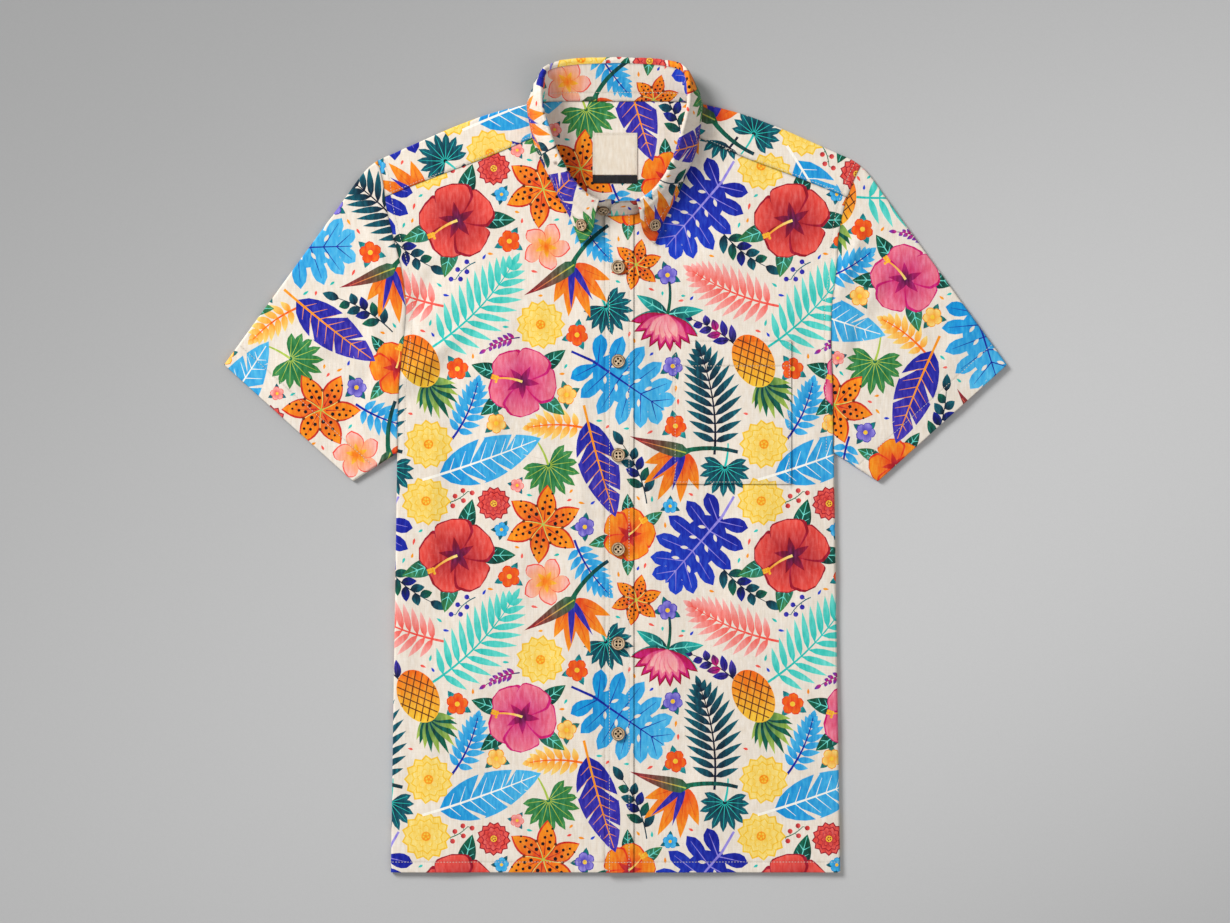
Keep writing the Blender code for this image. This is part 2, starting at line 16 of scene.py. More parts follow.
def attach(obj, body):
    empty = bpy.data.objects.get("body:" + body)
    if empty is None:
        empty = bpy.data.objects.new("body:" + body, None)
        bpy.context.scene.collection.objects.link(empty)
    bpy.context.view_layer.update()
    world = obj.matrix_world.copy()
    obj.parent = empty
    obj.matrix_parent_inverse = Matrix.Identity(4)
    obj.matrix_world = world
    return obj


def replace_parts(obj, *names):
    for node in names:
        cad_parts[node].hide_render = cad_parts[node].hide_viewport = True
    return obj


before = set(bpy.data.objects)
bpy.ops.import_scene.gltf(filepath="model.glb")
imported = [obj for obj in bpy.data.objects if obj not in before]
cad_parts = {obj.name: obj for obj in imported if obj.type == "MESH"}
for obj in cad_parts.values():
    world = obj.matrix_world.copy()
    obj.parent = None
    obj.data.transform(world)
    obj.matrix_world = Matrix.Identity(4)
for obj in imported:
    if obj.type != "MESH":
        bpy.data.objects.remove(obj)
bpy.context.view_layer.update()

MM = 0.001

# Cloth
CLOTH = 1.2  # the solids' wall
SEAM = 0.3  # the solids' gap at a seam
ON_TOP = CLOTH + SEAM + 0.02
LOWER = CLOTH / 2
UPPER = 3.8
FACE = CLOTH / 2  # from a wall's middle to its outer face
WALL = 0.8  # of one layer as it is drawn
BAND_WALL = 1.3  # of a folded band, a pocket or a collar
JOIN = 0.03  # half of the gap between two sewn edges
EDGE_RADIUS = 1.6 + FACE
UNDERARM_RADIUS = 0.95 + FACE
SPREAD = math.pi / 2 - 1  # how far a rolled edge's cloth reaches past its outline, in radii
ROLL_STEPS = 4
ROLL_REACH = 6.0
GRID = 5.5  # spacing of the cloth's inner points
COLLAR_GRID = 3.6
RIM_LIGHT = 0.7  # how much light reaches the cloth's cut edges
SHORTEST_CUT = 15.2  # of the label's strip, which is folded double

# Body
HEM_Y = -391.4
UNDERARM_Y = 12.0
UNDERARM_FADE = 40.0  # how far below it the side is as round as elsewhere
HALF_CHEST = 209.9
HALF_HEM = 216.0
BACK_SEAM_Y = 236.0
PLACKET_X = (-10.1, 17.3)
PLACKET_SHORT = 0.8  # of the neckline
PLACKET_TOP = 250  # of its shade on the fronts, past the neckline
RIGHT_FRONT_EDGE_X = 15.5
LAP_SLOPE_X = (19.0, 48.0)
CAUGHT_Y = (90, 160)  # the sleeve is caught under the body's edge up to here
CAUGHT_WIDTH = 9.0
BODY_LIFT = 0.35
SLEEVE_DIP = 0.9
POCKET_X = (55.3, 168.8)
POCKET_Y = (-18.3, 118.8)
POCKET_HEM = 23.6
SHOULDER = (  # distance from the centre line, y
    (60, 352.0), (84.6, 346.8), (120, 338.0), (155, 325.2), (188, 310.9), (214, 299.3), (229, 292.4),
    (237.5, 286.0), (246, 276.4), (258, 259.5), (302, 199.0), (376.2, 96.6),
)
ARMHOLE = (  # y, distance from the centre line on the wearer's right, on the left
    (12, 209.0, 209.0), (40, 209.2, 209.0), (78, 207.6, 208.4), (125, 203.0, 206.9), (155, 201.6, 208.0),
    (190, 206.0, 212.4), (222, 214.4, 214.6), (250, 220.6, 220.4), (272, 223.4, 228.4),
    (296, 229.6, 240.0),
)
YOKE_SEAM = ((66, 320.6), (120, 297.2), (172, 277.4), (224, 256.8))  # distance, y
YOKE_SEAM_END = 69.0  # of its shade on the fronts, by the collar
YOKE_NECK = (70.9, 69.3)  # distance of the yoke's inner edge at the shoulder and at the seam
YOKE_NECK_Y = (347.7, 350.8)  # its edge behind the collar, at the sides and across the middle
YOKE_NECK_CORNER = 0.75  # where the two meet, as a part of the way out
SLEEVE_TIP = (375.9, 96.4)
SLEEVE_HEM_END = (252.2, -15.0)

# Soft ridges and troughs: x, y, heading in degrees, half length, half width, height
FOLDS = (
    (-170, 142, 52, 62, 17, 1.6), (-128, 112, 60, 70, 20, 1.2), (238, 150, 74, 52, 13, 1.5),
    (-46, -150, 88, 190, 15, 1.1), (46, -215, 91, 150, 14, 1.1), (150, -150, 97, 200, 24, 1.2),
    (-140, -230, 84, 150, 26, 1.3), (92, 196, 38, 50, 18, 0.9), (-92, 205, 140, 52, 18, 0.9),
    (-300, 95, 56, 60, 18, 1.2), (300, 100, 124, 64, 20, 1.2),
)
CREASES = (
    (216, 165, 82, 70, 13, 1.7), (246, 150, 76, 60, 15, -1.7), (-200, -10, 89, 150, 22, 1.9),
    (-160, -20, 88, 140, 20, -1.3), (-118, 30, 86, 150, 20, 1.1), (196, -180, 91, 190, 20, 1.5),
    (158, -250, 93, 120, 20, -1.2), (-186, -300, 87, 80, 18, 1.3), (12, -120, 90, 180, 13, -0.7),
    (100, 10, 92, 120, 22, -0.9), (-186, 160, 66, 40, 7, -1.49), (-160, 118, 48, 46, 8, 1.7),
    (-188, 96, 40, 38, 7, 1.7), (-176, 78, 36, 44, 8, -1.27), (-110, 60, 78, 60, 10, 1.27),
    (-72, 120, 96, 70, 9, 1.06), (-32, 40, 90, 120, 8, 1.27), (-28, -260, 88, 90, 7, 1.27),
    (28, 60, 92, 110, 7, 1.27), (34, -60, 89, 90, 8, 1.06), (-84, -60, 82, 80, 12, 1.27),
    (-176, -40, 86, 90, 10, 1.27), (-190, -200, 88, 110, 9, -1.06), (-104, -320, 95, 60, 12, 1.27),
    (84, -300, 86, 70, 12, 1.49), (120, -110, 70, 60, 10, 1.06), (184, -60, 88, 90, 9, 1.49),
    (192, -250, 92, 90, 10, -1.06), (176, 70, 108, 46, 8, 1.7), (190, 120, 118, 40, 7, -1.49),
    (150, 190, 130, 44, 9, 1.27), (60, 250, 60, 34, 8, 1.27), (-62, 262, 122, 34, 8, 1.27),
    (-150, 215, 36, 46, 9, 1.27), (226, 196, 70, 34, 6, 2.34), (232, 118, 84, 40, 6, -1.91),
    (250, 170, 58, 40, 8, 1.7), (-226, 196, 112, 36, 6, 1.91), (-232, 120, 98, 44, 7, 1.91),
    (-246, 70, 66, 44, 8, -1.49), (-270, 130, 50, 60, 9, 1.27), (-320, 110, 128, 30, 8, 1.06),
    (270, 60, 130, 50, 9, 1.49), (330, 120, 60, 34, 9, 1.06), (285, 150, 110, 50, 9, 1.27),
)
BACK_FOLDS = (
    (-90, -120, 86, 180, 20, 1.05), (70, -200, 94, 160, 18, 1.05), (140, 40, 76, 110, 22, 1.05),
    (-150, 90, 104, 90, 16, 0.9), (10, 110, 90, 120, 14, 0.9), (-60, 310, 74, 30, 9, 0.9),
    (48, 300, 104, 34, 8, 1.05), (6, 338, 8, 40, 6, 0.6), (-30, 262, 20, 30, 7, 0.75),
    (290, 90, 60, 60, 12, 0.75), (-290, 90, 120, 60, 12, 0.75),
)
RIPPLES = (  # waves a metre along x and y, phase, height
    (8.5, 1.05, 0.4, 0.28), (13.0, -2.5, 2.3, 0.2), (3.75, 4.5, 4.4, 0.3), (-5.5, 7.5, 1.2, 0.18),
    (19.5, 4.0, 5.1, 0.11), (15.5, -13.5, 3.3, 0.09),
)

# Collar, one side of it; z is the height of the wall's middle
COLLAR = (  # neck x, y, z; roll x, y, z; leaf edge x, y, z; bow of the leaf towards the centre
    (0, 350.9, 2.15, 0, 390.4, 13.0, 0, 355.0, 0.75, 0),
    (34, 350.9, 2.15, 38, 388.6, 14.0, 37, 355.0, 0.75, 0),
    (56, 350.6, 2.2, 60.0, 384.2, 18.0, 59, 355.5, 0.75, 0),
    (67.5, 350.2, 3.1, 67.0, 376.6, 24.5, 78, 355.0, 0.9, 0),
    (71.5, 350.0, 5.0, 68.8, 361.0, 29.5, 82.6, 350.8, 2.6, 0),
    (72.8, 344.0, 5.5, 68.6, 346.5, 31.5, 84.2, 344.6, 5.7, 0),
    (71.6, 333.0, 5.5, 65.6, 332.0, 31.5, 82.4, 330.0, 5.7, 0),
    (69.0, 318.5, 5.5, 61.0, 317.0, 30.0, 79.5, 313.5, 5.8, 0),
    (64.5, 300.5, 5.5, 55.2, 299.5, 28.5, 75.4, 298.5, 5.9, 0),
    (56.5, 281.5, 5.5, 46.8, 281.5, 26.5, 66.0, 278.5, 6.1, 0),
    (45.5, 264.5, 5.5, 37.4, 268.0, 25.0, 57.2, 258.5, 6.4, 0),
    (32.0, 250.5, 5.5, 28.0, 259.2, 23.5, 46.0, 238.0, 6.9, 1),
    (17.0, 242.0, 5.5, 17.4, 254.0, 22.0, 35.6, 212.2, 7.3, 6),
)
LEAF_CREASES = (  # side, from row and share of the leaf's depth, to row and share, height, half width
    (1, 7.6, 0.55, 11.4, 0.42, -0.9, 2.3),
    (1, 8.2, 0.78, 11.9, 0.66, 0.8, 2.2),
    (1, 9.6, 0.34, 11.6, 0.3, 0.7, 1.9),
    (1, 5.2, 0.5, 7.4, 0.62, 0.6, 2.6),
    (-1, 8.8, 0.42, 11.2, 0.6, -0.8, 2.3),
    (-1, 8.0, 0.66, 11.0, 0.82, 0.7, 2.2),
    (-1, 5.0, 0.42, 7.6, 0.6, 0.6, 2.8),
    (-1, 10.4, 0.3, 11.6, 0.45, 0.6, 1.8),
    (1, 1.2, 0.6, 3.0, 0.75, 0.5, 3.0),
    (-1, 0.6, 0.75, 2.6, 0.6, 0.5, 3.0),
)
LAST = len(COLLAR) - 1
STAND_END_X = {1: -6.3, -1: 0.5}
STAND_END = (240.0, 5.5, 254.0, 21.4)  # neck y, z; roll y, z
ROLL_RISE = (5.0, 2.6)
# How high the stand's end is: part of the way to its end, part of its height
STAND_CORNER = ((0.0, 1.0), (0.4, 1.0), (0.65, 0.98), (0.85, 0.88), (1.0, 0.62))
ROLL_RADIUS = 1.9
LEAF_BULGE = 1.8
TUCK = 2.1
CENTRE_SHIFT = (-0.6, 2.0)  # of the collar's middle, behind and in front
CENTRE_SHIFT_Y = (-346, -262)  # between these, as -y
STAND_FOOT = 1.2  # how far the stand reaches below its seam
NECKLINE_TOP = 332  # the fronts' neckline follows the collar's rows below this
NECKLINE_MIDDLE = (-8, 240.0)
NECKLINE_GAP = 0.6

# Label
LABEL_X = (-22.0, 21.0)
LABEL_Y = (278.9, 319.4)
STRIP_Y = (270.9, 278.5)
LABEL_WALL = 0.75
LABEL_RISE = 0.85  # of its face over the yoke
LABEL_GRID = 2.4

# Sewing: a stitch, and how far each row of them is from its edge
STITCH = (2.1, 0.48, 0.4)  # length, width and thickness of one stitch
STITCH_PITCH = 2.9
HEM_STITCH = 10.0
CUFF_STITCH = 24.0
BAND_STITCH = 4.3
PATCH_STITCH = 2.0
ARMHOLE_STITCH = 6.5
SEAM_STITCH = 1.8
YOKE_ALLOWANCE = 7.0  # the cloth is double to here
LEAF_STITCH = 6.0
STAND_STITCH = 7.4
LABEL_STITCH = 1.6

# Buttons
BUTTONS = 6  # down the front
BUTTON_PROFILE = (  # radius, height, as parts of the radius
    (0.0, 0.0), (0.80, 0.0), (0.93, 0.05), (0.985, 0.13), (1.0, 0.22), (0.985, 0.31), (0.93, 0.375),
    (0.87, 0.395), (0.80, 0.385), (0.74, 0.345), (0.69, 0.305), (0.62, 0.285), (0.3, 0.272), (0.0, 0.27),
)
BUTTON_HOLE_RADIUS = 0.17
BUTTON_HOLE_OFFSET = 0.25
BUTTON_HOLE_FLOOR = 0.08  # height of a hole's dark end, as a part of the radius
BUTTON_STEPS = 48
BUTTON_RADIUS = 6.7
COLLAR_BUTTON_RADIUS = 6.0

# Print
TILE = 322.0  # the print's repeat
CELL = 2.5  # of the grid that keeps the print's motifs apart
PRINT_SEED = 11
TURNS_TRIED = 7  # for each motif, as it is placed
MOST_CLASH = 0.42  # of a motif's cells that may be taken; it is left out above this
BACK_PRINT_SHIFT = (84, -52)
YOKE_PRINT_SHIFT = (36, 20)
SLEEVE_PRINT = {1: (-38, (300, 60)), -1: (36, (-260, 140))}  # turn in degrees, shift
YOKE_MIRROR = (215, 85)  # between these the print goes on over the shoulder's fold
SLEEVE_MIRROR = (260, 370)
STAND_PRINT_SHIFT = (20, 130)
LEAF_PRINT_SHIFT = (150, 40)
PALETTE = {  # 0 to 255
    "ground": (237, 227, 214), "white": (250, 246, 236), "royal": (26, 40, 162), "cobalt": (36, 76, 204),
    "violet": (80, 64, 182), "lilac": (158, 146, 224), "purple": (66, 36, 124), "plum": (84, 22, 76),
    "navy": (14, 22, 52), "sky": (92, 192, 234), "cyan": (14, 154, 216), "turquoise": (48, 198, 188),
    "aqua": (122, 224, 210), "teal": (4, 112, 126), "deep_teal": (4, 58, 74), "emerald": (14, 116, 84),
    "leaf": (76, 148, 78), "lime": (180, 202, 88), "yellow": (246, 202, 66),
    "pale_yellow": (250, 224, 134), "amber": (248, 160, 32), "orange": (244, 116, 22),
    "red_orange": (230, 68, 38), "coral": (242, 100, 88), "rose": (240, 134, 154),
    "blush": (248, 190, 184), "magenta": (208, 28, 122), "crimson": (164, 18, 50), "brown": (112, 62, 34),
    "black": (20, 15, 26),
}


def linear(rgb):
    part = np.array(rgb, float) / 255
    return np.where(part <= 0.04045, part / 12.92, ((part + 0.055) / 1.055) ** 2.4)


COLOURS = {name: linear(rgb) for name, rgb in PALETTE.items()}


# ---------------------------------------------------------------- curves and lines


def ramp(value, low, high):
    """0 at low, 1 at high, and smooth between."""
    part = np.clip((value - low) / (high - low), 0, 1)
    return part * part * (3 - 2 * part)


def through(rows, at):
    """The values at some keys, on a smooth curve through rows that start with their key."""
    table = np.array(rows, float)
    keys, values = table[:, 0], table[:, 1:]
    at = np.asarray(at, float)
    slopes = np.gradient(values, keys, axis=0)
    i = np.clip(np.searchsorted(keys, at) - 1, 0, len(keys) - 2)
    span = keys[i + 1] - keys[i]
    t = (at - keys[i]) / span
    inside = np.clip(t, 0, 1)
    u, s = inside[..., None], span[..., None]
    found = (1 + 2 * u) * (1 - u) ** 2 * values[i] + u * (1 - u) ** 2 * s * slopes[i]
    found += u * u * (3 - 2 * u) * values[i + 1] + u * u * (u - 1) * s * slopes[i + 1]
    past = ((t - inside)[..., None]) * s
    found += past * np.where((t < 0)[..., None], slopes[i], slopes[i + 1])
    return found[..., 0] if found.shape[-1] == 1 else found


def spaced(start, end, longest):
    """Values from start to end, with no step longer than this."""
    return np.linspace(start, end, max(1, math.ceil(abs(end - start) / longest)) + 1)


def straight(start, end, longest=6.0):
    steps = max(1, math.ceil(math.dist(start, end) / longest))
    part = np.linspace(0, 1, steps + 1)[:, None]
    return np.array(start) * (1 - part) + np.array(end) * part


def left_normals(line):
    """The unit normals to a line's left."""
    step = np.gradient(line, axis=0)
    step /= np.linalg.norm(step, axis=1)[:, None]
    return np.column_stack((-step[:, 1], step[:, 0]))


def offset(line, distance):
    """The line moved to its left."""
    return line + left_normals(line) * distance


def nearest(points, line, reach):
    """Each point's distance to a line, more than 0 to its left, and the left normal there.

    A line goes on straight past its ends. A point far from it gets reach as its distance.
    """
    distance = np.full(len(points), float(reach))
    normal = np.zeros((len(points), 2))
    near = np.flatnonzero(((points > line.min(0) - reach) & (points < line.max(0) + reach)).all(1))
    if not len(near):
        return distance, normal
    steps = np.diff(line, axis=0)
    low, high = np.zeros(len(steps)), np.ones(len(steps))
    low[0], high[-1] = -np.inf, np.inf
    from_start = points[near][:, None] - line[:-1]
    t = np.clip((from_start * steps).sum(2) / (steps**2).sum(1), low, high)
    gap = from_start - t[..., None] * steps
    k = (gap**2).sum(2).argmin(1)
    rows = np.arange(len(near))
    part = np.clip(t[rows, k], 0, 1)[:, None]
    normals = left_normals(line)
    found = normals[k] * (1 - part) + normals[k + 1] * part
    found /= np.linalg.norm(found, axis=1)[:, None]
    signed = (gap[rows, k] * found).sum(1)
    kept = np.abs(signed) < reach
    distance[near[kept]] = signed[kept]
    normal[near[kept]] = found[kept]
    return distance, normal


def inside(points, outline):
    """Which points are inside a closed outline."""
    x, y = points[:, 0, None], points[:, 1, None]
    x1, y1 = outline[:, 0], outline[:, 1]
    x2, y2 = np.roll(x1, -1), np.roll(y1, -1)
    crosses = (y1 > y) != (y2 > y)
    with np.errstate(divide="ignore", invalid="ignore"):
        at = x1 + (y - y1) * (x2 - x1) / (y2 - y1)
    return (crosses & (x < at)).sum(1) % 2 == 1


def anticlockwise(outline):
    x, y = outline.T
    return outline if np.dot(x, np.roll(y, -1)) > np.dot(y, np.roll(x, -1)) else outline[::-1]


def turned(points, angle, at=(0.0, 0.0)):
    """Points turned about the origin, then moved."""
    c, s = math.cos(angle), math.sin(angle)
    return np.asarray(points) @ np.array(((c, s), (-s, c))) + at


# ---------------------------------------------------------------- the shirt's form


def folds(table, x, y):
    """How far a table's folds lift a point."""
    lift = np.zeros(np.shape(x))
    for fold_x, fold_y, heading, length, width, height in table:
        along_x, along_y = math.cos(math.radians(heading)), math.sin(math.radians(heading))
        dx, dy = x - fold_x, y - fold_y
        along = (dx * along_x + dy * along_y) / length
        across = (dx * along_y - dy * along_x) / width
        lift += height * np.exp(-across * across - along**4)
    return lift


def ripples(x, y):
    lift = np.zeros(np.shape(x))
    for across, up, phase, height in RIPPLES:
        lift += height * np.sin((x * across + y * up) * MM * 2 * math.pi + phase)
    return lift


def half_width(y):
    """From the centre line to the body's side, below the underarm."""
    return HALF_CHEST + (HALF_HEM - HALF_CHEST) * (y - UNDERARM_Y) / (HEM_Y - UNDERARM_Y)


def side_radius(y):
    below = UNDERARM_Y - y
    return UNDERARM_RADIUS + (EDGE_RADIUS - UNDERARM_RADIUS) * ramp(below, 0, UNDERARM_FADE)


def armhole(y, side):
    return through(ARMHOLE, y)[..., 1 if side > 0 else 0]


def collar_shift(y):
    behind, front = CENTRE_SHIFT
    return behind + (front - behind) * ramp(-y, *CENTRE_SHIFT_Y)


def neck_y(x, side):
    """The front neckline's y, where it is lower than the yoke's seam."""
    rows = [(row[0], row[1]) for row in reversed(COLLAR) if row[1] < NECKLINE_TOP]
    return through([NECKLINE_MIDDLE] + rows, side * (x - CENTRE_SHIFT[1])) - NECKLINE_GAP


def front_top(x, side):
    return np.minimum(neck_y(x, side), through(YOKE_SEAM, np.abs(x)))


def lap(x):
    """How far the left front is raised by the right front under it."""
    return ON_TOP * (1 - ramp(x, *LAP_SLOPE_X))


def front_face(x, y):
    """The height of the upper layer's outer face."""
    return UPPER + FACE + folds(FOLDS, x, y) + folds(CREASES, x, y) + ripples(x, y)


def left_front_face(x, y):
    return front_face(x, y) + lap(x)


def band_face(x, y):
    return left_front_face(x, y) + ON_TOP


def over_sleeve(x, y):
    """How far the body's edge lies above the sleeve, which is caught under it low on the armhole."""
    side = np.where(x > 0, armhole(y, 1), armhole(y, -1))
    return (1 - ramp(y, *CAUGHT_Y)) * np.exp(-(((np.abs(x) - side) / CAUGHT_WIDTH) ** 2))


def right_body_face(x, y):
    return front_face(x, y) + BODY_LIFT * over_sleeve(x, y)


def left_body_face(x, y):
    return left_front_face(x, y) + BODY_LIFT * over_sleeve(x, y)


def sleeve_face(x, y):
    return front_face(x, y) - SLEEVE_DIP * over_sleeve(x, y)


def back_face(x, y):
    """The height of the lower layer's outer face, which lies on the ground."""
    return folds(BACK_FOLDS, x, y)


def unit(vectors):
    return vectors / np.linalg.norm(vectors, axis=-1)[..., None]


def collar_station(at, side):
    """Neck, roll and leaf edge at places along the collar, and the leaf's bow. 0 is the centre back."""
    rows = through([(k, *values) for k, values in enumerate(COLLAR)], np.minimum(at, LAST))
    neck, roll, edge, bow = rows[:, 0:3].copy(), rows[:, 3:6].copy(), rows[:, 6:9].copy(), rows[:, 9:]
    for spot in (neck, roll, edge):
        spot[:, 0] = side * spot[:, 0] + collar_shift(spot[:, 1])
    if side > 0:
        lift = lap(neck[:, 0]) * ramp(at, 9, 12)
        neck[:, 2] += lift
        roll[:, 2] += lift
    return neck, roll, edge, bow


def roll_rise(at):
    return ROLL_RISE[0] + (ROLL_RISE[1] - ROLL_RISE[0]) * ramp(at, 7, 12)


def collar_frame(at, side):
    """The station's points with its stand's direction and the direction that its leaf turns to."""
    neck, roll, edge, bow = collar_station(at, side)
    rise = unit(roll - neck)
    before, after = np.maximum(0, at - 0.3), np.minimum(LAST, at + 0.3)
    along = collar_station(after, side)[1] - collar_station(before, side)[1]
    turn = unit(np.cross(rise, along) * side)
    return neck, roll, edge, bow, rise, turn


def stand_line(at, side):
    """Neck and roll of the stand, which goes on past the leaf's last station to its own end."""
    neck, roll, _, _ = collar_station(at, side)
    part = np.clip(at - LAST, 0, 1)[:, None]
    end_neck_y, end_neck_z, end_roll_y, end_roll_z = STAND_END
    x = side * STAND_END_X[side] + collar_shift(end_neck_y)
    lift = lap(x) if side > 0 else 0
    neck = neck + (np.array((x, end_neck_y, end_neck_z + lift)) - neck) * part
    roll = roll + (np.array((x, end_roll_y, end_roll_z + lift)) - roll) * part
    if side < 0:
        shift = TUCK * ramp(part, 0, 0.6) * (0, 1, 0)
        neck, roll = neck + shift, roll + shift
    return neck, roll


def stand_height(at, side):
    """From the stand's seam to its upper edge."""
    neck, roll = stand_line(at, side)
    whole = np.linalg.norm(roll - neck, axis=1) - roll_rise(np.minimum(at, LAST)) - JOIN
    return whole * np.interp(at - LAST, *zip(*STAND_CORNER))


def leaf_lengths(at, side):
    """The lengths of a leaf section's strip, roll and fall."""
    _, roll, edge, _, rise, turn = collar_frame(at, side)
    foot = roll - rise * ROLL_RADIUS + 2 * ROLL_RADIUS * turn
    fall = np.linalg.norm(edge - foot, axis=1) * 1.01
    return roll_rise(at) - ROLL_RADIUS, np.full(len(at), math.pi * ROLL_RADIUS), fall


def leaf_points(at, v, side):
    """The leaf's middle surface at a length v from where it is sewn to the stand."""
    _, roll, edge, bow, rise, turn = collar_frame(at, side)
    strip, curl, fall = leaf_lengths(at, side)
    start = roll - rise * ROLL_RADIUS
    angle = math.pi * (1 - np.clip((v - strip) / curl, 0, 1))[:, None]
    spot = start + turn * ROLL_RADIUS * (1 + np.cos(angle)) + rise * ROLL_RADIUS * np.sin(angle)
    spot += rise * np.minimum(v - strip, 0)[:, None]
    part = np.clip((v - strip - curl) / fall, 0, 1)[:, None]
    foot = start + 2 * ROLL_RADIUS * turn
    fallen = foot + (edge - foot) * part + turn * LEAF_BULGE * 4 * part * (1 - part)
    fallen += np.array((-side, 0, 0)) * bow * 27 / 4 * part * part * (1 - part)  # bow at two thirds
    return np.where(part > 0, fallen, spot)


# ---------------------------------------------------------------- the print


def blade(length, width, peak=0.45, point=1.0, bend=0.0, steps=7):
    """A leaf's outline from the origin along +X, widest at peak. A point below 1 rounds its tip."""
    t = np.linspace(0, 1, steps + 1)
    half = width / 2 * np.sin(math.pi * t ** (math.log(0.5) / math.log(peak))) ** point
    lower, upper = (np.column_stack((t * length, side + bend * t * t)) for side in (-half, half))
    return np.vstack((lower, upper[-2:0:-1]))


def ribbon(line, start, end):
    """A stroke along a line, as wide as start at one end and as end at the other."""
    line = np.asarray(line, float)
    half = left_normals(line) * np.linspace(start, end, len(line))[:, None] / 2
    return np.vstack((line - half, (line + half)[::-1]))


def disc(radius, steps=9):
    angle = np.arange(steps) * 2 * math.pi / steps
    return np.column_stack((np.cos(angle), np.sin(angle))) * radius


def stem_line(length, turn, steps=7):
    """A curved line from the origin, which starts along +X and turns by this angle."""
    heading = np.linspace(0, turn, steps)
    moves = np.column_stack((np.cos(heading), np.sin(heading)))[:-1] * (length / (steps - 1))
    return np.vstack(((0, 0), np.cumsum(moves, axis=0)))


def heading_at(line, k):
    k = min(k, len(line) - 1)
    step = line[min(k + 1, len(line) - 1)] - line[max(k - 1, 0)]
    return math.atan2(step[1], step[0])


def around(count, start=0.0):
    """Angles spread evenly round a circle."""
    return [k * 2 * math.pi / count + start for k in range(count)]


class Motif:
    """Flat shapes, later ones on top, each with two colours that blend along an axis."""

    def __init__(self):
        self.shapes = []

    def add(self, outline, first, second=None, angle=0.0, at=(0.0, 0.0), axis=None, shade=1.0):
        if axis is None:
            axis = ((outline[:, 0].min(), 0), (outline[:, 0].max(), 0))
        inks = COLOURS[first] * shade, COLOURS[second or first] * shade
        self.shapes.append((turned(outline, angle, at), *inks, turned(axis, angle, at)))
        return self

    def petals(self, outline, angles, *layers):
        """An outline at each angle, in layers of size, two colours and turn."""
        for angle in angles:
            for size, first, second, turn in layers:
                self.add(outline * size, first, second, angle + turn)
        return self

    def stroke(self, start, end, longest, widths, *look):
        """A straight line in steps no longer than longest, with the widths of its two ends."""
        return self.add(ribbon(straight(start, end, longest), *widths), *look)

    def put(self, other, angle=0.0, at=(0.0, 0.0)):
        for outline, first, second, axis in other.shapes:
            self.shapes.append((turned(outline, angle, at), first, second, turned(axis, angle, at)))
        return self


def hibiscus(radius, rim, deep, throat):
    flower = Motif()
    angles = [angle + 0.12 * math.sin(2.3 * k) for k, angle in enumerate(around(5))]
    for k, angle in enumerate(angles):
        petal = blade(radius, radius * 0.98, 0.66, 0.55, steps=15)
        petal = petal * (1 + 0.03 * np.sin(np.arange(len(petal)) * 1.3 + k))[:, None]
        flower.petals(petal, [angle], ((1.0, 1.05), deep, deep, -0.05), ((0.97, 0.95), deep, rim, 0))
        for spread in (-0.26, -0.09, 0.09, 0.26):
            vein = turned(straight((radius * 0.16, 0), (radius * 0.78, 0), radius * 0.25), spread)
            flower.add(ribbon(vein * (1, 1.25), 1.1, 0.3), deep, rim, angle)
    flower.petals(blade(radius * 0.5, radius * 0.2, 0.3, steps=5), angles, (1, throat, deep, 0))
    stamen = stem_line(radius * 0.8, 0.5)
    flower.add(ribbon(stamen, radius * 0.07, radius * 0.04), "pale_yellow", "amber", 0.5)
    for k in range(7):
        spot = turned(stamen[-1] + ((k % 3 - 1) * 2.3, (k // 3 - 1) * 2.4), 0.5)
        flower.add(disc(1.5, 6), "yellow", "amber", at=spot)
    return flower


def plain_leaf(length, width, base, tip, pairs):
    leaf = Motif()
    outline = blade(length, width, 0.42, 0.9, steps=9)
    one_half = np.column_stack((outline[:, 0], np.minimum(outline[:, 1], 0)))
    leaf.add(outline, base, tip)
    leaf.add(one_half, base, tip, shade=0.72)
    leaf.stroke((0, 0), (length * 0.93, 0), length * 0.3, (1.5, 0.4), "aqua")
    for k in range(pairs):
        x = length * (0.16 + 0.62 * k / pairs)
        reach = width * 0.36 * math.sin(math.pi * (x / length + 0.12)) ** 0.6
        for side in (-1, 1):
            leaf.stroke((x, 0), (x + reach * 0.9, side * reach), reach * 0.6, (0.9, 0.3), "aqua")
    return leaf


def hibiscus_group(chance, rim, deep, throat, radius):
    group = Motif()
    for angle in (0.5, 1.5, 3.3, 4.6):
        base, tip = ("deep_teal", "emerald") if chance.random() < 0.5 else ("teal", "leaf")
        leaf = plain_leaf(radius, radius * 0.46, base, tip, 3)
        group.put(leaf, angle, turned((radius * 0.52, 0), angle))
    return group.put(hibiscus(radius, rim, deep, throat))


def paradise(chance):
    flower = Motif()
    stem = stem_line(52, 0.5)
    flower.add(ribbon(stem, 3.4, 4.6), "deep_teal", "emerald")
    tip, turn = stem[-1], 0.5
    for angle, length in ((2.15, 40), (1.72, 50), (1.3, 54), (0.9, 50), (0.52, 40)):
        there = turn + angle - 0.5, tip
        flower.add(blade(length, 13.5, 0.4, 0.9), "red_orange", "amber", *there)
        flower.stroke((4, 0), (length * 0.8, 0), 14, (1.0, 0.4), "crimson", "orange", *there)
    for angle, length in ((1.5, 40), (0.95, 43)):
        flower.add(blade(length, 6.5, 0.3), "royal", "violet", turn + angle - 0.5, tip)
    flower.add(blade(60, 14, 0.25, 1.0, bend=-7), "emerald", "crimson", turn - 0.42, tip - (6, 0))
    return flower.stroke((4, 1), (50, -4), 12, (1.3, 0.5), "lime", "coral", turn - 0.42, tip - (6, 0))


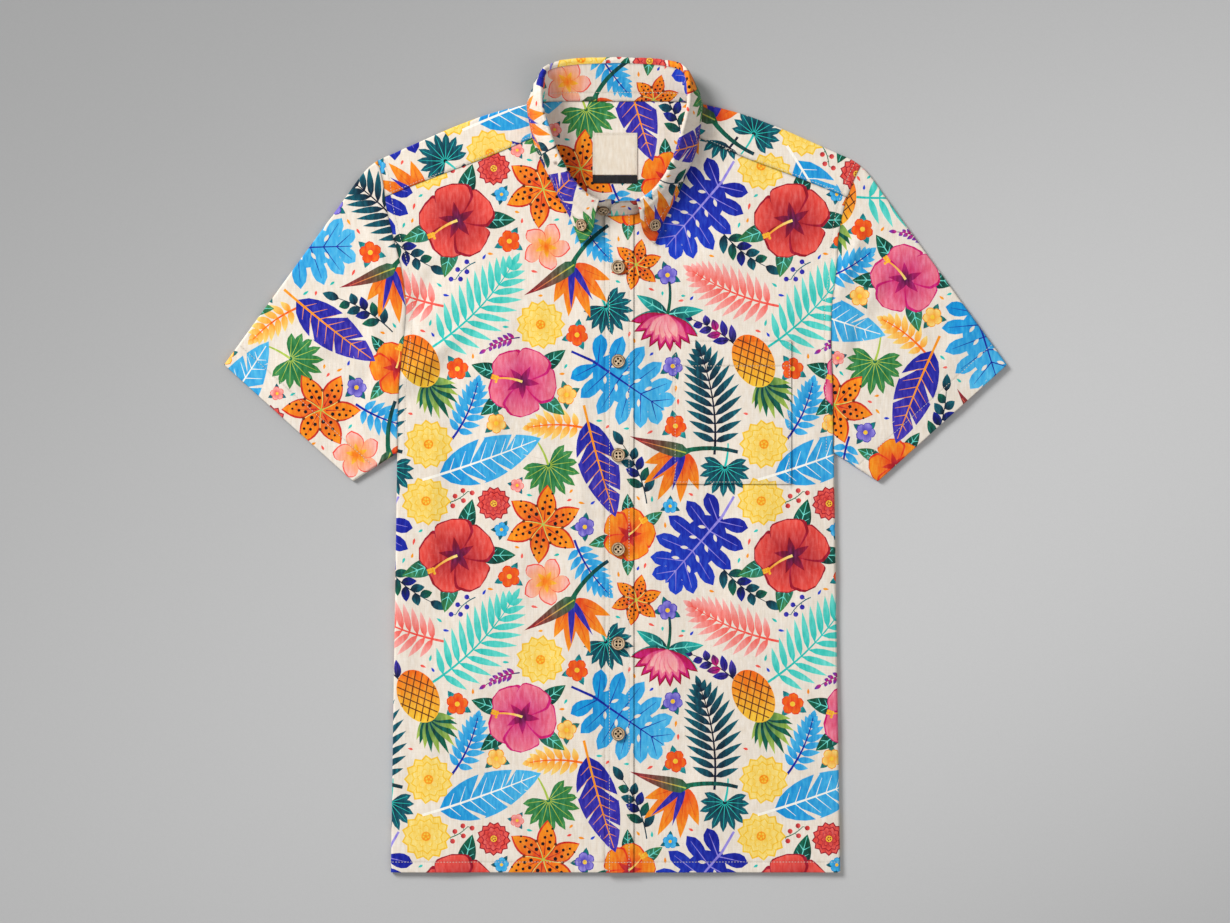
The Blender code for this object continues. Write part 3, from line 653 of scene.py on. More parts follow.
def monstera(chance, first, second, vein):
    leaf = Motif()
    axis = ((0, 0), (88, 0))
    leaf.add(blade(84, 40, 0.4, 0.7, steps=9), first, second, axis=axis)
    lobes = []
    for k in range(6):
        length = 40 * math.sin(math.pi * (0.24 + 0.118 * k)) ** 0.8
        angle = math.radians(118 - 15.5 * k)
        lobes += [(6 + k * 12.5, length, angle), (6 + k * 12.5, length, -angle)]
    for x, length, angle in lobes:
        outline = turned(blade(length, 14.5, 0.62, 0.6, steps=6), angle, (x, 0))
        leaf.add(outline, first, second, axis=axis)
    for x, length, angle in lobes:
        line = turned(straight((0, 0), (length * 0.82, 0), 12), angle, (x, 0))
        leaf.add(ribbon(line, 1.1, 0.3), vein)
    for k in range(4):
        for side in (-1, 1):
            hole = turned(blade(8, 3.2, 0.5, 0.7, steps=4), side, (18 + 13 * k, side * 5))
            leaf.add(hole, "ground")
    return leaf.stroke((-22, -4), (0, 0), 8, (2.2, 2.6), vein).stroke((0, 0), (82, 0), 14, (2.4, 0.6), vein)


def frond(chance, length, first, second, stem, pairs=11, turn=0.45):
    leaf = Motif()
    line = stem_line(length, turn, 2 * pairs + 3)
    for k in range(pairs):
        place = 3 + 2 * k
        part = k / (pairs - 1)
        reach = length * 0.33 * math.sin(math.pi * (0.22 + 0.7 * part)) ** 0.7
        for side in (-1, 1):
            angle = heading_at(line, place) + side * math.radians(68 - 34 * part)
            leaf.add(blade(reach, 6.6, 0.4, 0.9, steps=5), first, second, angle, line[place])
    end = heading_at(line, len(line) - 1), line[-1]
    leaf.add(blade(length * 0.13, 6, 0.4, steps=4), first, second, *end)
    return leaf.add(ribbon(line[::2], 2.4, 0.8), stem)


def banana_leaf(chance, length, width, first, second, vein):
    leaf = Motif()
    leaf.add(blade(length, width, 0.42, 0.8, bend=6, steps=12), first, second)
    for x, side in ((0.3, 1), (0.52, -1), (0.63, 1), (0.78, -1), (0.2, -1)):
        reach = width * 0.46 * math.sin(math.pi * x**0.8) ** 0.8
        slit = ((0.16, reach + 6), (0.02, 4), (0.20, reach + 3))
        leaf.add(np.array([((x + ahead) * length, side * out) for ahead, out in slit]), "ground")
    spine = np.column_stack((np.linspace(-0.16, 0.95, 9) * length, 6 * np.linspace(0, 0.95, 9) ** 2))
    for k in range(8):
        x = 0.1 + 0.1 * k
        reach = width * 0.38 * math.sin(math.pi * (x + 0.06) ** 0.8) ** 0.8
        for side in (-1, 1):
            end = x * length + reach * 0.7, side * reach + 6 * x * x
            leaf.stroke((x * length, 6 * x * x), end, 9, (0.9, 0.3), vein)
    return leaf.add(ribbon(spine, 2.6, 0.7), vein)


def fan_palm(chance, radius, first, second, stem):
    leaf = Motif()
    leaf.add(ribbon(stem_line(radius * 0.8, 0.3), 2.4, 1.4), stem, stem, math.pi - 0.2)
    for k in range(11):
        angle = math.radians(-112 + 22.4 * k)
        length = radius * (0.82 + 0.18 * math.cos(angle))
        leaf.add(blade(length, radius * 0.26, 0.62, 0.9, steps=5), first, second, angle)
        leaf.stroke((2, 0), (length * 0.85, 0), 12, (0.8, 0.3), stem, stem, angle)
    return leaf


def frangipani(chance, radius, rim, edge):
    petal = blade(radius, radius * 0.74, 0.6, 0.7, bend=radius * 0.2, steps=8)
    flower = Motif().petals(petal, around(5, 0.3), (1.06, edge, edge, -0.03), (1, "amber", rim, 0))
    inner = blade(radius * 0.5, radius * 0.22, 0.4, steps=4)
    return flower.petals(inner, around(5, 0.38), (1, "orange", "yellow", 0))


def zinnia(chance, radius, rim, deep, centre):
    flower = Motif()
    for ring, (count, size) in enumerate(((13, 1.0), (11, 0.74), (7, 0.48))):
        angles = [(k + 0.5 * ring) * 2 * math.pi / count for k in range(count)]
        petal = blade(radius * size, radius * size * 0.46, 0.72, 0.5, steps=5)
        flower.petals(petal, angles, (1.04, deep, deep, 0), (0.95, deep, rim, 0))
    flower.add(disc(radius * 0.2, 10), centre)
    for k in range(5):
        flower.add(disc(radius * 0.05, 5), deep, at=turned((radius * 0.1, 0), k * 1.26))
    return flower


def pineapple(chance):
    fruit = Motif()
    wide, tall = 19.0, 27.0
    for k in range(11):
        angle = math.radians(90 + (k - 5) * 15)
        inks = ("deep_teal", "emerald") if k % 2 else ("emerald", "lime")
        fruit.add(blade(40 - 3.2 * abs(k - 5), 8, 0.35, bend=(5 - k) * 1.4), *inks, angle, (0, tall * 0.86))
    ring = np.linspace(0, 2 * math.pi, 29)[:-1]
    body = np.column_stack((wide * np.cos(ring), tall * np.sin(ring)))
    fruit.add(body, "orange", "yellow", axis=((-12, -22), (14, 20)))
    for slope in (-1, 1):
        for k in range(-4, 5):  # a line to where it meets an ellipse just inside the outline
            middle, way = np.array((k * 8.4, 0.0)), np.array((0.62 * slope, 0.78))
            a = (way[0] / wide) ** 2 + (way[1] / tall) ** 2
            b = 2 * middle[0] * way[0] / wide**2
            c = (middle[0] / wide) ** 2 - 0.93
            root = b * b - 4 * a * c
            if root > 0.002:
                low, high = (-b - root**0.5) / (2 * a), (-b + root**0.5) / (2 * a)
                fruit.stroke(middle + way * low, middle + way * high, 14, (1.1, 1.1), "brown")
    return fruit


def lily(chance, radius):
    flower = Motif()
    petal = blade(radius, radius * 0.48, 0.5, 0.95, bend=radius * 0.12, steps=8)
    for k, angle in enumerate(around(6, 0.2)):
        inner = "orange" if k % 2 else "red_orange"
        edges = ((1.0, 1.08), "crimson", "red_orange", 0), ((0.97, 0.9), inner, "amber", 0)
        flower.petals(petal, [angle], *edges)
        end = radius * 0.8, radius * 0.1
        flower.stroke((radius * 0.12, 0), end, radius * 0.3, (1.0, 0.3), "crimson", "orange", angle)
        for j in range(7):
            spot = radius * (0.3 + 0.085 * j), radius * (0.11 if j % 2 else -0.07) * (1 - 0.07 * j)
            flower.add(disc(radius * 0.05 * (1.1 - 0.08 * j), 5), "black", at=turned(spot, angle))
    for angle in around(6, 0.7):
        stamen = stem_line(radius * 0.5, 0.3, 4)
        flower.add(ribbon(stamen, 1.0, 0.7), "lime", "pale_yellow", angle)
        flower.add(disc(1.6, 6), "brown", at=turned(stamen[-1], angle))
    return flower


def protea(chance, radius):
    flower = Motif()
    for angle in (-1.9, -1.2, 1.2, 1.9):
        flower.put(plain_leaf(radius, radius * 0.34, "deep_teal", "turquoise", 2), angle)
    for count, size, spread, first, second in (
        (9, 1.0, 66, "crimson", "magenta"),
        (7, 0.86, 50, "magenta", "rose"),
        (5, 0.7, 34, "rose", "blush"),
    ):
        angles = [math.radians(spread * (2 * k / (count - 1) - 1)) for k in range(count)]
        petal = blade(radius * size, radius * 0.28, 0.55, 0.9, steps=6)
        flower.petals(petal, angles, (1.04, first, first, 0), ((0.97, 0.86), first, second, 0))
    return flower.add(ribbon(stem_line(radius * 0.9, 0.4), 3.2, 2.4), "emerald", "deep_teal", math.pi)


def sprig(chance, pairs, length, width, colours, stem, turn=0.5):
    twig = Motif()
    line = stem_line(length * 0.62 * (pairs + 1.2), turn, 2 * pairs + 4)
    twig.add(ribbon(line, 1.3, 0.7), stem)
    for k in range(pairs):
        for side in (-1, 1):
            place = 2 + 2 * k + (side > 0)
            inks = colours[(k + (side > 0)) % len(colours)]
            size = length * (1 - 0.12 * k) * chance.uniform(0.88, 1.1)
            there = heading_at(line, place) + side * chance.uniform(0.75, 1.0), line[place]
            twig.add(blade(size, width, 0.45, 0.85, -side * size * 0.08, 6), *inks, *there)
            if length > 16:
                twig.stroke((2, 0), (size * 0.85, 0), 9, (0.7, 0.3), stem, stem, *there)
    end = heading_at(line, len(line) - 1), line[-1]
    return twig.add(blade(length * 0.9, width, 0.45, 0.85, steps=6), *colours[0], *end)


def blossom(chance, radius, rim, deep, leaf):
    flower = Motif()
    for angle in (0.6, 2.7, 4.4):
        outline = blade(radius * 1.5, radius * 0.7, 0.5, steps=5)
        flower.add(outline, leaf, "teal", angle + chance.uniform(-0.3, 0.3))
    petal = blade(radius, radius * 0.86, 0.62, 0.55, steps=7)
    flower.petals(petal, [k * 1.2566 for k in range(5)], (1.06, deep, deep, 0), (0.96, deep, rim, 0))
    return flower.add(disc(radius * 0.24, 8), "yellow")


def berries(chance, first, second, stem):
    twig = Motif()
    line = stem_line(26, 0.7, 6)
    twig.add(ribbon(line, 1.1, 0.7), stem)
    for k in range(1, 6):
        side = -1 if k % 2 else 1
        spot = line[k] + turned((4.4, 0), heading_at(line, k) + side * 1.1)
        twig.stroke(line[k], spot, 3, (0.6, 0.6), stem)
        twig.add(disc(2.5, 8), first, second, at=spot)
    return twig


def curl(chance, colour):
    angle = np.linspace(0, 7.2, 15)
    line = np.column_stack((np.cos(angle), np.sin(angle))) * (9.5 - 1.05 * angle)[:, None]
    return Motif().add(ribbon(line, 1.7, 0.8), colour)


def drop(chance, colour):
    return Motif().add(blade(chance.uniform(4.5, 7), 2.5, 0.6, 0.7, steps=4), colour)


def dots(chance, colour):
    spots = Motif()
    for k in range(3):
        radius = chance.uniform(0.9, 1.4)
        spots.add(disc(radius, 6), colour, at=turned((2.7, 0), k * 2.1 + chance.uniform(0, 0.6)))
    return spots


COOL = (("navy", "teal"), ("deep_teal", "emerald"), ("navy", "royal"))
NIGHT = (("navy", "violet"), ("purple", "royal"), ("magenta", "purple"))
SEA = (("teal", "cyan"), ("cyan", "sky"), ("emerald", "turquoise"))
GREEN = (("emerald", "leaf"), ("deep_teal", "emerald"), ("leaf", "lime"))
PLUM = (("magenta", "violet"),)
INK = (("navy", "deep_teal"), ("black", "navy"))
SUN = (("orange", "amber"), ("red_orange", "orange"))
# How many a repeat holds, their maker, and what it takes after the random generator. The large ones are
# placed first and stay whole.
PLANTS = (
    (1, hibiscus_group, "rose", "magenta", "plum", 34),
    (1, hibiscus_group, "coral", "crimson", "plum", 37),
    (1, lily, 38),
    (2, paradise),
    (1, pineapple),
    (1, protea, 35),
    (1, monstera, "royal", "cobalt", "lilac"),
    (1, monstera, "cyan", "sky", "royal"),
    (1, banana_leaf, 104, 42, "cyan", "sky", "white"),
    (1, banana_leaf, 96, 38, "royal", "violet", "amber"),
    (1, frond, 112, "turquoise", "aqua", "turquoise"),
    (1, frond, 100, "navy", "teal", "navy"),
    (1, frond, 90, "coral", "blush", "coral", 11, -0.4),
    (1, hibiscus_group, "amber", "red_orange", "crimson", 26),
    (1, lily, 25),
    (3, zinnia, 23, "pale_yellow", "yellow", "amber"),
    (1, frangipani, 22, "blush", "coral"),
    (1, fan_palm, 33, "emerald", "leaf", "lime"),
    (2, fan_palm, 29, "navy", "teal", "turquoise"),
    (1, zinnia, 16, "coral", "crimson", "yellow"),
    (2, frond, 60, "cyan", "sky", "royal", 8),
    (1, frond, 56, "amber", "pale_yellow", "orange", 7),
    (2, sprig, 4, 19, 8.5, COOL, "deep_teal"),
    (2, sprig, 4, 17, 7.5, NIGHT, "navy"),
    (3, sprig, 4, 18, 8, SEA, "teal", -0.6),
    (2, sprig, 4, 17, 7, GREEN, "emerald"),
    (4, blossom, 10.5, "orange", "red_orange", "turquoise"),
    (3, blossom, 9.5, "lilac", "violet", "emerald"),
    (4, blossom, 9.5, "pale_yellow", "amber", "leaf"),
    (3, sprig, 5, 9, 3.8, PLUM, "purple"),
    (8, sprig, 5, 9, 3.8, INK, "navy", -0.5),
    (3, sprig, 4, 9, 4.2, SUN, "crimson"),
    (4, berries, "crimson", "coral", "emerald"),
    (3, berries, "royal", "violet", "teal"),
    (4, blossom, 7, "sky", "cyan", "deep_teal"),
    (4, blossom, 6.5, "blush", "coral", "teal"),
    (2, curl, "teal"),
    (14, drop, "coral"),
    (14, drop, "turquoise"),
    (14, drop, "amber"),
    (8, drop, "cobalt"),
    (8, dots, "coral"),
    (8, dots, "cyan"),
    (8, dots, "yellow"),
)


def covered_points(motif):
    """The centres of the grid cells that a motif covers."""
    found = set()
    for outline, *_ in motif.shapes:
        low = np.floor(outline.min(0) / CELL).astype(int)
        high = np.ceil(outline.max(0) / CELL).astype(int)
        xs, ys = np.meshgrid(np.arange(low[0], high[0] + 1), np.arange(low[1], high[1] + 1))
        cells = np.column_stack((xs.ravel(), ys.ravel()))
        hit = inside((cells + 0.01) * CELL, outline)
        found |= set(map(tuple, cells[hit])) | set(map(tuple, np.round(outline / CELL).astype(int)))
    return np.array(sorted(found)) * CELL


def covered_cells(points, size):
    cells = np.zeros((size, size))
    for shift in ((0, 0), (0.5, 0), (0, 0.5), (0.5, 0.5)):
        at = np.floor(points / CELL + shift).astype(int) % size
        cells[at[:, 0], at[:, 1]] = 1
    return cells


def best_spot(chance, points, taken):
    """Of some random angles, the one and the place where a motif overlaps the taken cells least."""
    around_cell = [(dx, dy) for dx in (-1, 0, 1) for dy in (-1, 0, 1)]
    near = np.fft.fft2(np.maximum.reduce([np.roll(taken, shift, (0, 1)) for shift in around_cell]))
    best = None
    for angle in chance.uniform(0, 2 * math.pi, TURNS_TRIED):
        cells = covered_cells(turned(points, angle), len(taken))
        clash = np.fft.ifft2(near * np.conj(np.fft.fft2(cells))).real / cells.sum()
        clash += chance.uniform(0, 0.03, clash.shape)
        spot = np.unravel_index(clash.argmin(), clash.shape)
        if best is None or clash[spot] < best[0]:
            best = (clash[spot], angle, spot, cells)
    return best


def make_print():
    """One repeat's motifs, with the boxes round them, the topmost last."""
    chance = np.random.default_rng(PRINT_SEED)
    size = round(TILE / CELL)
    taken = np.zeros((size, size))
    placed = []
    for count, maker, *facts in PLANTS:
        for _ in range(count):
            motif = maker(chance, *facts)
            clash, angle, spot, cells = best_spot(chance, covered_points(motif), taken)
            if clash <= MOST_CLASH:
                taken = np.maximum(taken, np.roll(cells, spot, (0, 1)))
                shapes = Motif().put(motif, angle, np.array(spot) * CELL).shapes
                corners = np.vstack([outline for outline, *_ in shapes])
                placed.append((shapes, corners.min(0), corners.max(0)))
    return placed[::-1]


PRINT = make_print()


def print_over(outline, matrix, shift):
    """The print's shapes that a sheet needs, in its own plane: (outline, first, second, axis)."""
    corners = (outline - shift) @ np.linalg.inv(matrix).T
    low, high = corners.min(0), corners.max(0)
    sheet_low, sheet_high = outline.min(0), outline.max(0)
    found = []
    for shapes, motif_low, motif_high in PRINT:
        firsts = np.floor((low - motif_high) / TILE).astype(int)
        lasts = np.ceil((high - motif_low) / TILE).astype(int)
        for i in range(firsts[0], lasts[0] + 1):
            for j in range(firsts[1], lasts[1] + 1):
                move = np.array((i, j)) * TILE
                for shape, first, second, axis in shapes:
                    there = (shape + move) @ matrix.T + shift
                    if (there.max(0) > sheet_low).all() and (there.min(0) < sheet_high).all():
                        axis_there = (axis + move) @ matrix.T + shift
                        found.append((anticlockwise(there), first, second, axis_there))
    return found


# ---------------------------------------------------------------- sheets of cloth


def detail(line, shifts, reach, rise, sewn=False, dark=0.0, width=0.8):
    """Relief along a line: rise gives the lift at a signed distance, and the cloth is cut along the shifts.

    The cloth is darker by dark on the line itself, where little light reaches, and less so this far off.
    """
    return dict(line=line, shifts=shifts, reach=reach, rise=rise, sewn=sewn, dark=(dark, width))


def groove(line, depth=0.25):
    """A row of stitches draws the cloth in."""
    return detail(line, (-1.3, 0, 1.3), 4, lambda d: -depth * np.exp(-((d / 0.7) ** 2)), True, 0.1)


def seam(line, dip=0.45):
    """The cloth turns down to the edge where it is sewn to the next piece."""
    return detail(line, (0.8, 2.6), 6, lambda d: -dip * np.exp(-((d / 1.3) ** 2)), dark=0.55)


def soft_edge(line, drop=0.35, width=0.9):
    return detail(line, (width,), 4, lambda d: -drop * np.clip(1 - d / width, 0, 1) ** 2, False, 0.25, 0.5)


def doubled(line, rise=0.3, reach=30):
    """The cloth is double to the line's right."""
    return detail(line, (-0.7, 0.7), reach, lambda d: rise * ramp(-d, -0.7, 0.7), dark=0.08)


def tucked(line, dark=0.5):
    """The cloth goes in under the edge of another piece, which leaves it in shade."""
    return detail(line, (-0.7, 0.7), 4, np.zeros_like, dark=dark, width=0.55)


def soft_fold(line, height, width):
    return detail(line, (-width, 0, width), 3 * width, lambda d: height * np.exp(-((d / width) ** 2)))


def on_side(details, side):
    """Details drawn for the left, or mirrored for the right."""
    return [{**row, "line": both(row["line"], side)} for row in details]


class Sheet:
    """A cut sheet of cloth: its outline and lines in its own plane, and how it is laid."""

    def __init__(self, outline, height, details=(), rolls=(), under=False, wall=WALL, turn=0, shift=(0, 0)):
        self.outline = np.asarray(outline, float)
        self.height, self.details, self.rolls = height, list(details), list(rolls)
        self.under, self.wall = under, wall
        self.matrix = turned(np.eye(2), math.radians(turn)).T
        self.shift = np.array(shift, float)
        self.plain = None  # its colour, if it has no print
        self.bare_inside = False  # its inner face has no print, because nothing shows it
        self.spacing = GRID

    def mirror_print(self, start, end):
        """Reflects the print over a line, so that it goes on from the sheet on the other side of it."""
        way = unit(np.array(end, float) - start)
        flip = 2 * np.outer(way, way) - np.eye(2)
        self.matrix = flip @ self.matrix
        self.shift = start + flip @ (self.shift - start)
        return self

    def relief(self, points):
        lift = np.zeros(len(points))
        for row in self.details:
            lift += row["rise"](nearest(points, row["line"], row["reach"])[0])
        return lift

    def light(self, points):
        """How much light reaches points: less along seams and edges."""
        found = np.ones(len(points))
        for row in self.details:
            dark, width = row["dark"]
            distance = nearest(points, row["line"], 3 * width)[0]
            found *= 1 - dark * np.exp(-((distance / width) ** 2))
        return found

    def place(self, points):
        """Where points of the sheet lie."""
        xy = points.copy()
        turn = np.zeros(len(points))
        for line, radius in self.rolls:
            distance, normal = nearest(points, line, ROLL_REACH)
            r = radius(points[:, 1])
            past = np.clip(r - distance, 0, r * math.pi / 2)
            xy -= normal * (r * np.sin(past / r) - past)[:, None]
            turn = np.maximum(turn, past / r)
        x, y = xy[:, 0], xy[:, 1]
        middle = (UPPER + LOWER + folds(FOLDS, x, y)) / 2
        relief = self.relief(points)
        flat = self.height(x, y) + (-relief if self.under else relief)
        return np.column_stack((x, y, middle + (flat - middle) * np.cos(turn)))

    def cut_lines(self):
        found = [offset(row["line"], shift) for row in self.details for shift in row["shifts"]]
        for line, radius in self.rolls:
            r = radius(line[:, 1])[:, None]
            for k in range(ROLL_STEPS):
                found.append(line + left_normals(line) * r * (1 - math.pi / 2 * k / ROLL_STEPS))
        return found

    def normals(self, points, step=0.25):
        along = self.place(points + (step, 0)) - self.place(points - (step, 0))
        across = self.place(points + (0, step)) - self.place(points - (0, step))
        found = np.cross(along, across)
        return unit(-found if self.under else found)

    def stitches(self):
        """The middle, direction and facing of each stitch."""
        spots = np.vstack([walk(row["line"]) for row in self.details if row["sewn"]])
        spots = spots[inside(spots[:, :2], self.outline)]
        at, way = spots[:, :2], spots[:, 2:]
        middle = self.place(at)
        return middle, unit(self.place(at + way) - middle), self.normals(at)

    def made(self):
        """The outer face's points, normals, triangles and corner colours, and the points in the cloth."""
        shapes = [] if self.plain else print_over(self.outline, self.matrix, self.shift)
        points, triangles, tops = cut(self.outline, self.cut_lines(), shapes, self.spacing)
        outer = self.place(points)
        normals = self.normals(points)
        if self.under:
            triangles = triangles[:, ::-1]
        ground = COLOURS["ground"] if self.plain is None else linear(self.plain)
        colours = np.tile(ground, (len(triangles), 3, 1))
        if shapes:
            inked = np.flatnonzero(tops >= 0)
            first, second, axis = (np.array([shape[k] for shape in shapes])[tops[inked]] for k in (1, 2, 3))
            way = axis[:, 1] - axis[:, 0]
            from_start = points[triangles[inked]] - axis[:, None, 0]
            part = np.clip((from_start * way[:, None]).sum(2) / (way**2).sum(1)[:, None], 0, 1)[..., None]
            colours[inked] = first[:, None] * (1 - part) + second[:, None] * part
        # Painted shade: the colours are darkened along seams and edges, where little light reaches.
        colours = colours * self.light(points)[triangles][..., None]
        return outer, normals, triangles, colours, points

    def lining(self, flat, starts, ends):
        """An inner face without the print, in the cloth's plane: its points, its triangles, and which point
        lies at each one of flat that is on the edge, which runs from starts to ends."""
        following = dict(zip(starts.tolist(), ends.tolist()))
        loop = [int(starts[0])]
        while following[loop[-1]] != loop[0]:
            loop.append(following[loop[-1]])
        points, triangles, _ = cut(anticlockwise(flat[loop]), self.cut_lines(), [], self.spacing)
        match = np.zeros(len(flat), int)
        match[loop] = [((points - flat[k]) ** 2).sum(1).argmin() for k in loop]
        return points, triangles[:, ::-1] if self.under else triangles, match

    def area(self):
        """The area of the cut cloth, in square metres."""
        x, y = self.outline.T
        return abs(np.dot(x, np.roll(y, 1)) - np.dot(y, np.roll(x, 1))) / 2 * MM * MM


def walk(line):
    """A stitch's place and direction at each pitch of a line."""
    lengths = np.concatenate(([0], np.cumsum(np.linalg.norm(np.diff(line, axis=0), axis=1))))
    at = np.arange(STITCH_PITCH / 2, lengths[-1], STITCH_PITCH)
    spots = np.column_stack([np.interp(at, lengths, line[:, k]) for k in (0, 1)])
    ahead = np.column_stack([np.interp(at + 0.5, lengths, line[:, k]) for k in (0, 1)])
    return np.hstack((spots, ahead - spots))


def cut(outline, lines, shapes, spacing):
    """The cloth's points and triangles, split along lines and shapes, and each one's topmost shape or -1."""
    points, faces, edges = [], [], []
    count = 0
    for shape in [outline] + [row[0] for row in shapes]:
        faces.append(list(range(count, count + len(shape))))
        points.append(shape)
        count += len(shape)
    for line in lines:
        edges += [(k, k + 1) for k in range(count, count + len(line) - 1)]
        points.append(line)
        count += len(line)
    low, high = outline.min(0), outline.max(0)
    rows = np.arange(low[1] + spacing / 2, high[1], spacing)
    columns = np.arange(low[0] + spacing / 2, high[0], spacing)
    grid = np.array([(x + spacing / 2 * (k % 2), y) for k, y in enumerate(rows) for x in columns])
    grid = grid.reshape(-1, 2)
    points.append(grid[inside(grid, outline)])
    vectors = [Vector(point) for point in np.vstack(points)]
    found, _, triangles, _, _, origins = delaunay_2d_cdt(vectors, edges, faces, 1, 1e-4, True)
    kept = [(triangle, max(origin) - 1) for triangle, origin in zip(triangles, origins) if 0 in origin]
    used, corners = np.unique(np.array([triangle for triangle, _ in kept]), return_inverse=True)
    tops = np.array([top for _, top in kept])
    return np.array([tuple(found[k]) for k in used]), corners.reshape(-1, 3), tops


def build_mesh(name, sheets):
    """A mesh of closed shells, one for each sheet, with its print as corner colours, darkened by painted
    shade along seams and edges and on the cut rims.
    """
    all_points, all_faces, all_normals, all_colours, all_cloth = [], [], [], [], []
    start = 0
    for sheet in sheets:
        outer, normals, triangles, colours, flat = sheet.made()
        count = len(outer)
        sides = np.vstack([triangles[:, [k, (k + 1) % 3]] for k in range(3)])
        side_colours = np.concatenate([colours[:, k] for k in range(3)])
        codes = sides[:, 0] * count + sides[:, 1]
        lone = ~np.isin(sides[:, 1] * count + sides[:, 0], codes)
        a, b = sides[lone].T
        if sheet.bare_inside:
            inner_flat, inner_triangles, match = sheet.lining(flat, a, b)
            inner_normals = sheet.normals(inner_flat)
            inner = sheet.place(inner_flat) - inner_normals * sheet.wall
            inner_colours = np.tile(COLOURS["ground"], (len(inner_triangles), 3, 1))
        else:
            inner_flat, inner_triangles, match = flat, triangles, np.arange(count)
            inner_normals, inner_colours = normals, colours
            inner = outer - normals * sheet.wall
        under_a, under_b = match[a] + count, match[b] + count
        rim = np.vstack((np.column_stack((b, a, under_a)), np.column_stack((b, under_a, under_b))))
        away = unit(np.cross(outer[b] - outer[a], normals[a]))
        rim_normals = np.repeat(np.tile(away, (2, 1))[:, None], 3, axis=1)
        # Painted shade: the cut rims take the colour at the sheet's edge, darkened by RIM_LIGHT.
        rim_colours = np.repeat(np.tile(side_colours[lone], (2, 1))[:, None], 3, axis=1) * RIM_LIGHT
        all_points += [outer, inner]
        all_faces += [triangles + start, inner_triangles[:, ::-1] + count + start, rim + start]
        all_normals += [normals[triangles], -inner_normals[inner_triangles[:, ::-1]], rim_normals]
        all_colours += [colours, inner_colours[:, ::-1], rim_colours]
        all_cloth += [flat, inner_flat]
        start += count + len(inner)
    mesh = mesh_of(name, np.vstack(all_points), np.vstack(all_faces))
    mesh.normals_split_custom_set(np.vstack(all_normals).reshape(-1, 3).tolist())
    # The corner colours hold the print, with painted shade along seams, edges and rims.
    inks = np.pad(np.vstack(all_colours).reshape(-1, 3), ((0, 0), (0, 1)), constant_values=1)
    fill(mesh.color_attributes.new("print", "FLOAT_COLOR", "CORNER"), "color", inks)
    in_cloth = np.pad(np.vstack(all_cloth), ((0, 0), (0, 1)))
    fill(mesh.attributes.new("cloth", "FLOAT_VECTOR", "POINT"), "vector", in_cloth)
    return mesh


def fill(attribute, key, values):
    attribute.data.foreach_set(key, np.asarray(values, np.float32).ravel())


def mesh_of(name, points, triangles):
    """A smooth mesh from points in millimetres and triangles."""
    mesh = bpy.data.meshes.new(name)
    mesh.vertices.add(len(points))
    mesh.vertices.foreach_set("co", (points * MM).astype(np.float32).ravel())
    mesh.loops.add(triangles.size)
    mesh.loops.foreach_set("vertex_index", triangles.astype(np.int32).ravel())
    mesh.polygons.add(len(triangles))
    mesh.polygons.foreach_set("loop_start", np.arange(0, triangles.size, 3, dtype=np.int32))
    mesh.update(calc_edges=True)
    mesh.shade_smooth()
    return mesh


# ---------------------------------------------------------------- outlines
# They are drawn for the left, as distance from the centre line and y.


def both(line, side):
    """A line drawn for the left, or its mirror run the other way for the right."""
    return line if side > 0 else (np.asarray(line) * (-1, 1))[::-1]


def joined(parts):
    """One closed outline of lines that follow each other, without points that repeat."""
    line = np.vstack(parts)
    step = np.linalg.norm(line - np.roll(line, 1, axis=0), axis=1)
    return line[step > 0.05]


def side_line():
    """The body's side, from the hem up."""
    y = spaced(HEM_Y, UNDERARM_Y, 9)
    return np.column_stack((half_width(y), y))


def side_cloth():
    """The edge of the cloth that rolls over the body's side."""
    line = side_line()
    return line - left_normals(line) * (SPREAD * side_radius(line[:, 1]))[:, None]


def armhole_line(low, high, side, gap=-JOIN):
    y = spaced(low, high, 5)
    return np.column_stack((armhole(y, side) + gap, y))


def armhole_x(y, side):
    return float(armhole(np.array(y), side))


def crossing(curve, side):
    """The y where the armhole meets a curve of the distance from the centre line."""
    y = 270.0
    for _ in range(12):
        y = float(curve(armhole_x(y, side)))
    return y


def seam_y(distance):
    return through(YOKE_SEAM, distance)


def shoulder_y(distance):
    return through(SHOULDER, distance)


def curve_line(curve, start, end, longest=4.0):
    x = spaced(start, end, longest)
    return np.column_stack((x, curve(x)))


def fold_radius(y):
    return np.full(np.shape(y), EDGE_RADIUS)


def armhole_details(hole):
    return seam(hole, 0.3), groove(offset(hole, ARMHOLE_STITCH))


def hem_details(edge, depth, reach=30):
    """A turned hem, stitched this far from its edge."""
    return soft_edge(edge), doubled(offset(edge, depth), 0.25, reach), groove(offset(edge, depth))


def edges_of(corners, longest=6.0):
    """From each corner to the next, anticlockwise from the lower edge."""
    return [straight(start, end, longest) for start, end in zip(corners, corners[1:] + corners[:1])]


def front_outline(side, inner):
    top = crossing(seam_y, side)
    outer = armhole_x(top, side) - JOIN
    distance = spaced(outer, inner, 2)
    top_edge = np.column_stack((distance, front_top(side * distance, side) - JOIN))
    parts = (
        straight((inner, HEM_Y), side_cloth()[0]),
        side_cloth(),
        armhole_line(UNDERARM_Y + 0.3, top - 0.5, side),
        top_edge,
        straight(top_edge[-1], (inner, HEM_Y)),
    )
    return both(joined(parts), side)


def front_details(side):
    top = crossing(seam_y, side)
    armhole_sewing = armhole_details(armhole_line(UNDERARM_Y, top, side))
    yoke_seam = seam(curve_line(seam_y, armhole_x(top, side), YOKE_SEAM_END), 0.5)
    hem = hem_details(straight((-20, HEM_Y), (HALF_HEM + 2, HEM_Y)), HEM_STITCH, 14)
    return on_side((*armhole_sewing, yoke_seam, *hem), side)


